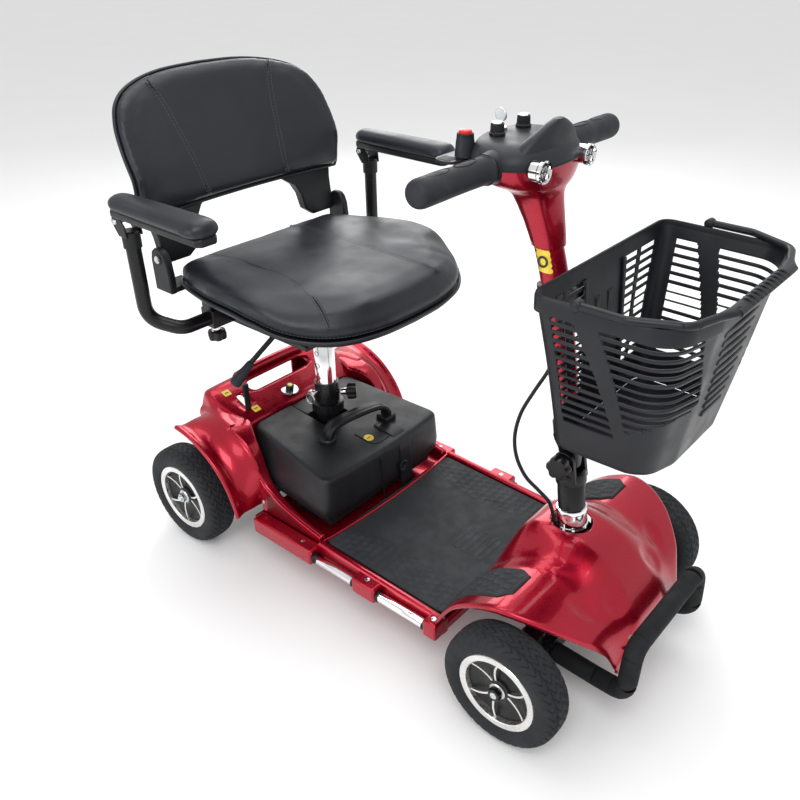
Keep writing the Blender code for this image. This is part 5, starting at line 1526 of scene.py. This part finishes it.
def basket_open(x, y, z):
    """Whether the wall is cut by a slot here."""
    if not 0.51 < z < 0.676:
        return False
    t = (z - 0.51) / 0.166
    pitch = 0.0125
    if ((z - 0.51) % pitch) / pitch < 0.36:
        return False
    side = abs(x)
    half, back, front = basket_size(z)
    if y > back - 0.01:
        return 0.05 < side < half - 0.022 and not abs(side - 0.5 * (0.05 + half - 0.022)) < 0.004
    if side < 0.3 * half + 0.06 * t and y < front + 0.03:
        return False
    if y > back - 0.022:
        return False
    along = (back - y) / (back - front)
    band = 0.66 - 0.3 * t
    if abs(along - band) < 0.055 + 0.03 * t and side > half * 0.8:
        return False
    if along > band and z < 0.53 + 0.03 * ease((along - band) / 0.5):
        return False
    return True


def basket_shell():
    """The basket: slotted walls, rim, louvres and posts."""
    count, levels = 440, 92
    rings = []
    for j in range(levels + 1):
        z = 0.468 + (BASKET_TOP - 0.468) * j / levels
        rings.append([Vector((p.x, p.y, z)) for p in basket_outline(z, count)])
    bm = bmesh.new()
    verts = [[bm.verts.new(p) for p in ring] for ring in rings]
    for near, far in zip(verts, verts[1:]):
        for i in range(len(near)):
            j = (i + 1) % len(near)
            centre = (near[i].co + far[j].co) / 2
            if not basket_open(centre.x, centre.y, centre.z):
                bm.faces.new((near[i], near[j], far[j], far[i]))
    wall = piece("basket_wall", made("basket_wall", bm), BASKET, "basket", ["basket"], 180)
    thickened(wall, 0.0026, 0.0)
    add_modifier(wall, "BEVEL", width=0.0004, segments=1, limit_method="ANGLE", angle_limit=math.radians(50))
    floor = [(p.x, p.y) for p in basket_outline(0.4665, 160)]
    slab("basket_floor", floor, 0.4635, 0.468, BASKET, "basket", 0.002)
    rim = [Vector((p.x, p.y, 0)) for p in basket_outline(0.69, 220, 0.0006)]
    section = mm((-2, 674.5), (2.2, 674.5), (2.4, 692.5), (1.2, 696.2), (-1.6, 696.2), (-2.4, 693.5))
    rows = []
    total = len(rim)
    for i, point in enumerate(rim):
        ahead = (rim[(i + 1) % total] - rim[i - 1]).normalized()
        out = Vector((-ahead.y, ahead.x, 0))
        if out.dot(point - Vector((0, -0.44, 0))) < 0:
            out = -out
        rows.append([point + out * o + Vector((0, 0, z)) for o, z in section])
    piece(
        "basket_rim", grid_mesh("basket_rim", rows, round_rows=True, round_columns=True), BASKET, "basket",
        (), 40,
    )
    for n in range(10):
        z = 0.53 + 0.0138 * n
        front = basket_size(z)[2]
        reach = 0.03 + 0.022 * n / 9
        path = [
            Vector((x, front - 0.002 + 0.002 * (x / 0.05) ** 2, z))
            for x in (-reach, -reach / 2, 0, reach / 2, reach)
        ]
        strip(f"basket_louvre_{n}", route(path, 0.006), 0.005, 0.0075, BASKET, "basket", bevel=0.0018)
    for n, x in enumerate((-0.05, 0.05)):
        path = [Vector((x, basket_size(z)[1] - 0.003, z)) for z in (0.48, 0.55, 0.62, 0.674)]
        strip(f"basket_post_{n}", path, 0.008, 0.0035, BASKET, "basket", (0, 1, 0), 0.001)
    for n, s in enumerate((-1, 1)):
        block(
            f"basket_hook_{n}", (s * 0.016 - 0.006, -0.3525, 0.6), (s * 0.016 + 0.006, -0.333, 0.64),
            BASKET, "basket", 0.002,
        )


def basket_bail():
    """The swinging handle that lies round the rim."""
    half = mm((178.5, -410, 700), (178.5, -470, 700), (150, -532, 700), (80, -553, 700))
    path = route(rounded([(-x, y, z) for x, y, z in half] + half[::-1], 0.03, 8), 0.004)
    rows = []
    for i, point in enumerate(path):
        ahead = heading(path, i)
        side = ahead.cross(Vector((0, 0, 1))).normalized()
        wide = 0.005 + 0.0045 * ease((0.11 - abs(point.x)) / 0.03)
        rows.append(
            [point + side * (wide * x) + Vector((0, 0, 0.005 * y)) for x, y in circle(1, 20)]
        )
    piece("bail_bar", solid_mesh("bail_bar", rows), BASKET, "bail", ["basket_bail"], 60)
    for n in range(10):
        x = -0.054 + 0.012 * n
        ridge = [
            Vector((x, -0.5535 - 0.0088, 0.7005)), Vector((x, -0.5535, 0.7058)),
            Vector((x, -0.5535 + 0.0088, 0.7005)),
        ]
        tube(f"bail_ridge_{n}", route(ridge, 0.002), 0.002, BASKET, "bail", resolution=3)
    for side, s in SIDES:
        rod(
            f"bail_pivot_{side}", (s * 0.1705, -0.41, 0.7), (s * 0.184, -0.41, 0.7), 0.007, BASKET, "bail",
            0.0015,
        )


def basket_bracket():
    """The bracket between the basket and the column."""
    block(
        "bracket_body", (-0.03, -0.33, 0.5905), (0.03, -0.2955, 0.6455), BLACK, "tiller", 0.0045, 4,
        ["basket_bracket"],
    )
    lathe(
        "bracket_clamp", mm((20.8, -20), (26.2, -18), (27, 0), (26.2, 18), (20.8, 20)), (0, -0.2795, 0.618),
        (0, 0.2, 0.98), BLACK, "tiller", 48,
    )
    block("bracket_latch", (-0.011, -0.324, 0.64), (0.011, -0.312, 0.668), BLACK, "tiller", 0.003)
    for n, x in enumerate((-0.018, 0.018)):
        rod(f"bracket_bolt_{n}", (x, -0.302, 0.644), (x, -0.302, 0.6478), 0.0038, ZINC, "tiller", 0.0008, 6)


# ---------------------------------------------------------------- seat

SEAT_OUTLINE = mm(
    (0, -26), (70, -22), (130, -6), (175, 25), (205, 65), (223.5, 110), (225.5, 156), (219, 215),
    (207, 265), (194, 310), (184, 335), (170, 349), (120, 353), (0, 353),
)
SEAT_RIM = mm((-26, 524), (20, 529), (72, 540), (108, 553), (156, 559), (221, 556), (313, 549), (353, 550))
SEAT_CROWN = mm((-26, 542), (0, 554), (40, 562), (110, 569), (200, 571), (300, 568), (353, 560))
SEAT_MIDDLE = Vector((0, 0.18, 0))


def seat_edge(grow=0.0, spacing=0.004):
    """The seat's outline, closed, seen from above."""
    points = route([Vector((x, y, 0)) for x, y in SEAT_OUTLINE], spacing)
    ring = points + [Vector((-p.x, p.y, 0)) for p in points[-2:0:-1]]
    if grow:
        moved = []
        for i, point in enumerate(ring):
            ahead = (ring[(i + 1) % len(ring)] - ring[i - 1]).normalized()
            moved.append(point + Vector((ahead.y, -ahead.x, 0)) * grow)
        ring = moved
    return ring


def seat_half(y):
    """Half the seat's width at y."""
    return through([(row[1], row[0]) for row in SEAT_OUTLINE[1:12]], y)


def seat_top(x, y):
    """How high the cushion's top lies: a flat middle, raised saddle sides and a waterfall front."""
    crown = through(SEAT_CROWN, y)
    rim = through(SEAT_RIM, y) + 0.0125
    out = max(0.0, min(1.0, abs(x) / seat_half(max(-0.02, min(y, 0.345)))))
    z = crown + (rim - crown) * ease((out - 0.62) / 0.38)
    return z - 0.0022 * math.exp(-(((abs(x) - 0.13) / 0.009) ** 2)) * ease((y - 0.02) / 0.05)


def puffed(name, rings, material, body, replaces, fill):
    """Upholstery: the closed shape is inflated as cloth, then kept."""
    mesh = solid_mesh(name, rings)
    obj = piece(name, mesh, material, body, replaces, 180)
    remesh = add_modifier(obj, "REMESH", mode="VOXEL", voxel_size=0.0055)
    bpy.context.view_layer.update()
    shape = bpy.data.meshes.new_from_object(obj.evaluated_get(bpy.context.evaluated_depsgraph_get()))
    obj.modifiers.remove(remesh)
    before = [vert.co.copy() for vert in shape.vertices]
    obj.data = shape
    cloth = obj.modifiers.new("Cloth", "CLOTH")
    cloth.settings.use_pressure = True
    cloth.settings.uniform_pressure_force = 4.0
    cloth.settings.tension_stiffness = 60.0
    cloth.settings.compression_stiffness = 60.0
    cloth.settings.bending_stiffness = 2.0
    cloth.settings.effector_weights.gravity = 0.0
    cloth.point_cache.frame_start, cloth.point_cache.frame_end = 1, 20
    scene = bpy.context.scene
    for number in range(1, 21):
        scene.frame_set(number)
    shape = bpy.data.meshes.new_from_object(obj.evaluated_get(bpy.context.evaluated_depsgraph_get()))
    obj.modifiers.remove(cloth)
    obj.data = shape
    scene.frame_set(1)
    for vert, old in zip(shape.vertices, before):
        moved = vert.co - old
        if moved.length > fill:
            vert.co = old + moved.normalized() * fill
    shape.materials.clear()
    shape.materials.append(material)
    shape.shade_smooth()
    bm = bmesh.new()
    bm.from_mesh(shape)
    for _ in range(3):
        bmesh.ops.smooth_vert(
            bm, verts=bm.verts, factor=0.5, use_axis_x=True, use_axis_y=True, use_axis_z=True,
        )
    bm.to_mesh(shape)
    bm.free()
    subdivided(obj, 1)
    return obj


def stitches(name, path, body, step=0.0055, length=0.0032, radius=0.00042, lift=Vector((0, 0, 0.0006))):
    """Short threads laid along a path."""
    bm = bmesh.new()
    travelled, next_at = 0.0, 0.0
    for a, b in zip(path, path[1:]):
        span = (b - a).length
        while next_at < travelled + span:
            point = a.lerp(b, (next_at - travelled) / span)
            ahead = (b - a).normalized()
            turn = ahead.to_track_quat("Z", "Y").to_matrix().to_4x4()
            place = Matrix.Translation(point + lift) @ turn
            bmesh.ops.create_cone(
                bm, cap_ends=True, segments=6, radius1=radius, radius2=radius, depth=length, matrix=place,
            )
            next_at += step
        travelled += span
    return piece(name, made(name, bm), THREAD, body, (), 180)


def seat_cushion():
    """The saddle cushion, its piping and its two double-stitched seams."""
    levels = mm((-20, -14), (-18.5, -4), (-11, 0.5), (-1, 1.6), (7, -2), (11.2, -8.5))
    rings = []
    for lift, grow in levels:
        rings.append(
            [Vector((p.x, p.y, through(SEAT_RIM, p.y) + lift)) for p in seat_edge(grow - 0.002, 0.006)]
        )
    edge = seat_edge(-0.018, 0.006)
    rings.append([Vector((p.x, p.y, seat_top(p.x, p.y) + 0.001)) for p in edge])
    for shrink in (0.84, 0.66, 0.48, 0.3, 0.12):
        ring = [SEAT_MIDDLE + (p - SEAT_MIDDLE) * shrink for p in edge]
        rings.append([Vector((p.x, p.y, seat_top(p.x, p.y) + 0.001)) for p in ring])
    seat = puffed("seat_cushion_cover", rings, LEATHER, "seat", ["seat_cushion"], 0.0018)
    piping = [Vector((p.x, p.y, through(SEAT_RIM, p.y) - 0.017)) for p in seat_edge(0.0005, 0.004)]
    tube("seat_piping", piping, 0.0027, LEATHER, "seat", cyclic=True)
    trim = [Vector((p.x, p.y, through(SEAT_RIM, p.y) - 0.008)) for p in seat_edge(0.0002, 0.004)]
    stitches("seat_rim_stitch", trim, "seat", 0.006, 0.0034, 0.0004, Vector((0, 0, 0)))
    seams = {
        "right": mm((-126, 338), (-126, 321), (-119, 206), (-130, 98), (-150, 30), (-166, 0)),
        "left": mm((65, 338), (65, 318), (60, 172), (65, 80), (78, 20), (86, -6)),
    }
    for side, line in seams.items():
        s = -1 if side == "right" else 1
        for n, shift in enumerate((-0.004, 0.004)):
            path = route([Vector((x + s * shift, y, 0)) for x, y in line], 0.004)
            path = [Vector((p.x, p.y, seat_top(p.x, p.y) + 0.0022)) for p in path]
            stitches(f"seat_stitch_{side}_{n}", path, "seat")
        path = route([Vector((x, y, 0)) for x, y in line], 0.004)
        tube(
            f"seat_seam_{side}", [Vector((p.x, p.y, seat_top(p.x, p.y) + 0.0018)) for p in path], 0.001,
            LEATHER, "seat", resolution=2,
        )


def seat_base():
    """The seat's pan and the steel under it."""
    rings = []
    for lift, grow in mm((-27, -30), (-27, -6), (-24.5, -2.5), (-19.5, -2), (-18, -6), (-18, -30)):
        rings.append([Vector((p.x, p.y, through(SEAT_RIM, p.y) + lift)) for p in seat_edge(grow, 0.008)])
    piece("seat_pan", solid_mesh("seat_pan", rings), BLACK, "seat", ["seat_shell"], 45)
    slab(
        "seat_plate", mm((-130, 100), (130, 100), (130, 295), (-130, 295)), 0.4552, 0.464, SATIN, "seat",
        0.0015, 2, ["seat_frame"],
    )
    lathe(
        "seat_hub", mm((20, 439.6), (31.8, 439.6), (32.2, 441.5), (32.2, 458), (30, 460)), (0, POST_Y, 0),
        (0, 0, 1), SATIN, "seat", 64,
    )
    block("arm_receiver", (-0.18, ARM_X, 0.4632), (0.18, 0.3005, 0.4965), SATIN, "seat", 0.002)
    block("seat_riser_rear", (-0.18, 0.274, 0.494), (0.18, 0.296, 0.53), SATIN, "seat", 0.002)
    block("seat_riser_front", (-0.11, 0.105, 0.462), (0.11, 0.135, 0.532), SATIN, "seat", 0.002)
    for side, s in SIDES:
        outline = mm(
            (328, 520), (328, 552), (330.5, 574), (336, 588), (344, 594.5), (352, 595.5), (360, 594.5),
            (368, 588), (372, 574), (372, 520),
        )
        rows = [[(s * x, y, z) for y, z in outline] for x in (0.199, 0.212)]
        rounded_edges(piece(f"seat_ear_{side}", solid_mesh("ear", rows), BLACK, "seat"), 0.003, 4)
        low, high = sorted((s * 0.16, s * 0.2115))
        block(f"seat_ear_foot_{side}", (low, 0.3285, 0.521), (high, 0.3715, 0.53), BLACK, "seat", 0.002)


BACK_LOW = 0.65
BACK_OUTLINE = mm(
    (650, 214), (656, 219), (662, 221.2), (690, 222.5), (720, 222.5), (750, 222), (780, 218), (800, 210.5),
    (818, 198), (833, 174), (844, 135), (851, 80), (853, 0),
)
BACK_SEAM = mm((656, 88), (700, 93), (750, 102), (800, 113), (838, 127))


def back_front(x, z):
    """How far back the pad's front face lies."""
    bow = 0.016 + 0.026 * ease((z - 0.65) / 0.07)
    return 0.36 + 0.44 * (z - 0.652) - bow * (x / 0.2225) ** 2


def back_edge(inset):
    """The pad's outline seen from the front, drawn in by inset."""
    half = route([Vector((x, 0, z)) for z, x in BACK_OUTLINE], 0.006)
    low = [Vector((x, 0, BACK_LOW)) for x in (0.2, 0.15, 0.1, 0.05, 0.0)]
    right = [Vector((-p.x, 0, p.z)) for p in half]
    ring = right + [
        Vector((p.x, 0, p.z))
        for p in half[-2::-1]
    ] + low + [Vector((-p.x, 0, p.z)) for p in low[-2::-1]]
    moved = []
    for i, point in enumerate(ring):
        ahead = (ring[(i + 1) % len(ring)] - ring[i - 1]).normalized()
        moved.append(point + Vector((ahead.z, 0, -ahead.x)) * inset)
    return moved


def back_ring(inset, depth, shrink=1.0):
    """A ring of the pad, set back by depth from its front."""
    points = []
    for p in back_edge(inset):
        x, z = p.x * shrink, 0.75 + (p.z - 0.75) * shrink
        points.append(Vector((x, back_front(x, z) + depth * 0.9153, z - depth * 0.4028)))
    return points


def back_shell_skin():
    """The plastic shell behind the pad and its two legs."""
    rings = [
        back_ring(0.004, 0.0242), back_ring(0.003, 0.0262), back_ring(0.006, 0.03),
        back_ring(0.014, 0.0318), back_ring(0.014, 0.0318, 0.7), back_ring(0.014, 0.0318, 0.3),
    ]
    piece("back_shell_skin", solid_mesh("back_shell", rings), BLACK, "seat_back", ["back_shell"], 60)
    levels = mm(
        (562, 145, 196.5, 357, 372), (577, 125, 197, 356, 375), (590, 122.5, 197, 357.5, 377),
        (606, 120, 197.5, 360, 380), (624, 111, 199.5, 364, 385),
    )
    for side, s in SIDES:
        rows = [
            [(s * inner, front, z), (s * inner, rear, z), (s * outer, rear, z), (s * outer, front, z)]
            for z, inner, outer, front, rear in levels
        ]
        for z, inner, outer in mm((636, 94, 201.5), (645, 76, 203), (653, 52, 203), (670, 48, 203)):
            a, b = back_front(inner, z), back_front(outer, z)
            rows.append(
                [
                    (s * inner, a + 0.0255, z), (s * inner, a + 0.0385, z), (s * outer, b + 0.0385, z),
                    (s * outer, b + 0.0255, z),
                ]
            )
        leg = piece(f"back_leg_{side}", solid_mesh("back_leg", rows), BLACK, "seat_back")
        rounded_edges(leg, 0.003, 4, 50)
        lathe(
            f"back_bolt_{side}", mm((0, 3.4), (5.2, 3.4), (6.6, 2), (6.8, -1)), (s * 0.212, *BACK_HINGE),
            (s, 0, 0), ZINC, "seat_back", 32,
        )
        lathe(
            f"back_washer_{side}", mm((0, 0.8), (9.5, 0.8), (10, -0.5)), (s * 0.212, *BACK_HINGE),
            (s, 0, 0), BLACK, "seat_back", 40,
        )


def seat_back():
    """The backrest pad, its piping, its seams and its shell."""
    rings = [
        back_ring(0.012, 0.024, 0.3), back_ring(0.012, 0.024, 0.7), back_ring(0.008, 0.0242),
        back_ring(0.003, 0.0225), back_ring(0.0012, 0.016), back_ring(0.0022, 0.009),
        back_ring(0.0065, 0.0035), back_ring(0.015, 0.0008),
    ]
    rings += [back_ring(0.015, 0.0, shrink) for shrink in (0.9, 0.76, 0.6, 0.44, 0.28, 0.14, 0.05)]
    pad = puffed("back_pad_cover", rings, LEATHER, "seat_back", ["back_pad"], 0.0016)
    tube("back_piping", back_ring(0.0006, 0.021), 0.0028, LEATHER, "seat_back", cyclic=True)
    for side, s in SIDES:
        for n, shift in enumerate((-0.0038, 0.0038)):
            line = route([Vector((s * (x + shift), 0, z)) for z, x in BACK_SEAM], 0.004)
            line = [Vector((p.x, back_front(p.x, p.z) - 0.0012, p.z)) for p in line]
            stitches(f"back_stitch_{side}_{n}", line, "seat_back", lift=Vector((0, -0.0004, 0.0002)))
        line = route([Vector((s * x, 0, z)) for z, x in BACK_SEAM], 0.004)
        tube(
            f"back_seam_{side}", [Vector((p.x, back_front(p.x, p.z) - 0.0006, p.z)) for p in line], 0.0011,
            LEATHER, "seat_back", resolution=2,
        )
    back_shell_skin()


PAD_FRONT, PAD_LENGTH = 0.1182, 0.2296


def armrests():
    """The armrest tubes, pads and hinges."""
    for side, s in SIDES:
        path = rounded(
            [
                (s * 0.125, ARM_BAR_Y, ARM_BAR_Z), (s * 0.23, ARM_BAR_Y, ARM_BAR_Z),
                (s * ARM_X, ARM_Y, 0.5), (s * ARM_X, ARM_Y, 0.65),
            ],
            0.04, 12,
        )
        tube(f"arm_tube_{side}_bar", path, 0.0118, SATIN, f"arm_{side}", [f"arm_tube_{side}"], resolution=8)
        lathe(
            f"arm_socket_{side}", mm((11.9, -14), (14.2, -13), (14.4, 12), (11.9, 14)),
            (s * ARM_X, ARM_Y, 0.636), (0, 0, 1), BLACK, f"arm_{side}", 40,
        )
        for n, off in enumerate((-0.0135, 0.0135)):
            x = s * ARM_X + off
            outline = mm((310, 642), (312, 660), (324, 674), (340, 674), (344, 662), (330, 642))
            rows = [[(x + w, y, z) for y, z in outline] for w in (-0.0014, 0.0014)]
            rounded_edges(
                piece(f"arm_clevis_{side}_{n}", solid_mesh("clevis", rows), SATIN, f"arm_{side}"), 0.0008,
            )
        rod(
            f"arm_hinge_{side}", (s * ARM_X - 0.018, 0.334, 0.664), (s * ARM_X + 0.018, 0.334, 0.664),
            0.0042, ZINC, f"arm_{side}", 0.001,
        )
        rows = []
        stations = 40
        for k in range(stations + 1):
            t = k / stations
            y = PAD_FRONT + PAD_LENGTH * t
            round_end = math.sqrt(
                max(0.0, 1 - (1 - min(t, 1 - t) / 0.09) ** 2)
            ) if min(t, 1 - t) < 0.09 else 1.0
            half = (0.0285 - 0.0055 * t) * (0.3 + 0.7 * round_end)
            crown = 0.013 * (0.35 + 0.65 * round_end) * (1 - 0.2 * t)
            base = 0.688
            ring = []
            for i in range(28):
                a = around(i, 28)
                c, d = math.cos(a), math.sin(a)
                x = curved(c, 0.8) * half
                z = base + (crown + 0.0065) * max(d, 0.0) ** 0.85 - 0.007 * max(-d, 0.0) ** 0.5
                ring.append(Vector((s * ARM_X + x, y, z)))
            rows.append(ring)
        pad = puffed(f"arm_pad_cover_{side}", rows, LEATHER, f"arm_pad_{side}", [f"arm_pad_{side}"], 0.0012)
        outline = [
            (s * ARM_X + x, y)
            for x, y in mm(
                (-19.5, 130), (-13, 121.5), (13, 121.5), (19.5, 130), (17.5, 338), (12, 346), (-12, 346),
                (-17.5, 338),
            )
        ]
        slab(f"arm_pad_base_{side}", outline, 0.67, 0.683, BLACK, f"arm_pad_{side}", 0.004, 4)
        line = []
        for k in range(61):
            a = around(k, 60)
            c, d = math.cos(a), math.sin(a)
            y = 0.233 + 0.106 * curved(c, 0.35)
            half = 0.0225 - 0.0055 * (y - PAD_FRONT) / PAD_LENGTH
            line.append(Vector((s * ARM_X + half * curved(d, 0.5), y, 0.6995)))
        stitches(
            f"arm_pad_stitch_{side}", line, f"arm_pad_{side}", 0.006, 0.0034, 0.0004,
            Vector((0, 0, 0.0004)),
        )
        star_knob(
            f"arm_knob_star_{side}", (s * 0.165, 0.285, 0.4628), (0, 0, -1), f"arm_knob_{side}", 0.0165,
            0.0265, 0.01, 6, None, [f"arm_knob_{side}"],
        )


# ---------------------------------------------------------------- seat post and levers

def seat_post():
    """The post, its outer tube, and dark discs painted as the shade inside the pin's holes."""
    outer = mm(
        (19.5, 312.2), (22.9, 312), (23.2, 310.8), (23.2, 272), (30, 270.5), (30.2, 269), (30.2, 253),
        (29, 251.8), (23.2, 251.5), (23.2, 120),
    )
    lathe("post_outer", outer, (0, POST_Y, 0), (0, 0, 1), SATIN, "chassis", 64, ["post_tube"])
    rod(
        "post_chrome", (0, POST_Y, 0.14), (0, POST_Y, 0.4392), 0.019, CHROME, "seat_post", 0.001, 64,
        ["seat_post"],
    )
    # Dark discs on the chrome stand in for the pin holes: painted shade, no hole is cut.
    for n, z in enumerate((0.325, 0.35, 0.375, 0.4)):
        for m, a in enumerate((math.pi, 0.0)):
            lathe(
                f"post_hole_{n}_{m}", mm((4.6, -0.6), (5, 0.2), (4.2, 0.3), (4, -0.4), (0, -0.4)),
                (0.019 * math.cos(a), POST_Y, z), (math.cos(a), 0, 0), INK_AND_HOLE_SHADE, "seat_post", 24,
            )
    rod("post_collar", (0, POST_Y, 0.423), (0, POST_Y, 0.439), 0.0205, SATIN, "seat_post", 0.001, 48)
    star_knob(
        "post_knob_star", (0.016, 0.18, 0.288), (0.7, -0.71, 0), "post_knob", 0.016, 0.03, 0.012, 5, LABEL,
        ["post_knob"],
    )
    rod(
        "height_pin_bar", (-0.019, POST_Y, 0.3), (-0.043, POST_Y, 0.3), 0.004, ZINC, "height_pin", 0.001,
        24, ["height_pin"],
    )
    lathe(
        "height_pin_head", mm((4, 0), (7.8, 1), (8, 5), (6, 7), (0, 7)), (-0.036, POST_Y, 0.3), (-1, 0, 0),
        ZINC, "height_pin", 32,
    )
    ring = [Vector((-0.0425, POST_Y + y, 0.2905 + z)) for z, y in circle(0.0105, 32)]
    tube("height_pin_ring", ring, 0.0012, ZINC, "height_pin", cyclic=True, resolution=4)


def levers():
    """The seat swivel lever with its grip, and the freewheel lever with its tip."""
    path = rounded(mm((-70, 214, 448), (-83, 219, 442), (-129, 238, 398), (-146, 243.2, 384)), 0.012, 6)
    tube("swivel_rod", path, 0.0045, SATIN, "swivel_lever", ["swivel_lever"])
    grip = mm((5, -4), (6.8, 0), (7.5, 10), (10, 32), (10.6, 40), (9, 45.5), (4, 47.8), (0, 48))
    lathe(
        "swivel_grip", [(p.x, p.y) for p in route([(r, h, 0) for r, h in grip], 0.003)],
        (-0.138, 0.24, 0.3905), Vector((-0.32, 0.06, -0.265)), GRIP, "swivel_lever", 40, (), 60,
    )
    path = [
        Vector(p)
        for p in mm(
            (-110, 300, 202), (-110, 300, 250), (-110, 300, 280), (-110, 300.8, 300), (-110, 301.4, 314.8),
        )
    ]
    strip(
        "freewheel_blade", path, 0.012, 0.004, CASE, "freewheel_lever", (0, 1, 0), 0.0012,
        ["freewheel_lever"],
    )
    block("freewheel_tip", (-0.1165, 0.2985, 0.302), (-0.1035, 0.3045, 0.315), GREY, "freewheel_lever", 0.002)


# ---------------------------------------------------------------- stage

CAMERA_PLACE = (-0.93997, -0.82712, 1.08525)
CAMERA_AZIMUTH, CAMERA_ELEVATION = math.radians(-50.8), math.radians(31.21)
FOCAL_SHARE = 1.0523125
CENTRE_SHIFT = (-0.0423, 0.0101)


def light(name, place, target, size, power):
    """A soft rectangular lamp aimed at a place."""
    data = bpy.data.lights.new(name, "AREA")
    data.shape = "RECTANGLE"
    data.size, data.size_y = size
    data.energy = power
    obj = linked(name, data)
    obj.location = place
    obj.rotation_euler = (Vector(target) - Vector(place)).to_track_quat("-Z", "Y").to_euler()


def stage():
    """A pale floor, a bright room and soft lights."""
    floor_shader = Shader("pale_floor", (0.9, 0.9, 0.9), 0.7)
    floor_shader.tint(floor_shader.noise(3.0), (0.885, 0.885, 0.89))
    bm = bmesh.new()
    bmesh.ops.create_grid(bm, x_segments=1, y_segments=1, size=14.0)
    floor = linked("floor", made("floor", bm))
    floor.data.materials.append(floor_shader.material)
    world = bpy.data.worlds.new("room")
    world.use_nodes = True
    world.node_tree.nodes["Background"].inputs["Color"].default_value = (1, 1, 1, 1)
    world.node_tree.nodes["Background"].inputs["Strength"].default_value = 0.8
    bpy.context.scene.world = world
    bpy.context.scene.view_settings.view_transform = "Standard"
    light("key_light", (-1.6, -1.2, 2.6), (0, 0, 0.35), (1.6, 1.6), 38.0)
    light("top_light", (0.6, 0.4, 3.0), (0, 0, 0.3), (2.6, 2.0), 34.0)
    light("rim_light", (1.8, 1.6, 1.7), (0, 0, 0.5), (1.2, 1.6), 22.0)
    light("low_light", (-2.2, 0.6, 0.9), (0, 0, 0.3), (1.4, 0.8), 9.0)


def camera():
    """The camera of the main view."""
    data = bpy.data.cameras.new("camera")
    data.sensor_width = 36.0
    data.lens = 36.0 * FOCAL_SHARE
    data.shift_x, data.shift_y = CENTRE_SHIFT
    obj = linked("camera", data)
    back = Vector(
        (
            math.sin(CAMERA_AZIMUTH) * math.cos(CAMERA_ELEVATION),
            -math.cos(CAMERA_AZIMUTH) * math.cos(CAMERA_ELEVATION), math.sin(CAMERA_ELEVATION),
        )
    )
    obj.location = at(*CAMERA_PLACE)
    obj.rotation_euler = (-back).to_track_quat("-Z", "Y").to_euler()
    bpy.context.scene.camera = obj


wheels()
anti_tip_wheels()
floor_mat()
deck()
front_cowl()
arch_pads()
front_bumper()
rear_cover()
battery_box()
battery_and_drive_nodes()
steering_stem()
tiller_column()
head_shells()
grips()
head_details()
star_knob(
    "tilt_knob_star", (-0.0194, -0.3263, 0.365), (-1, 0, 0), "tilt_knob", 0.019, 0.023, 0.0055, 6, None,
    ["tilt_knob"], ZINC,
)
control_cable()
basket_shell()
basket_bail()
basket_bracket()
seat_cushion()
seat_base()
seat_back()
armrests()
seat_post()
levers()
stage()
camera()
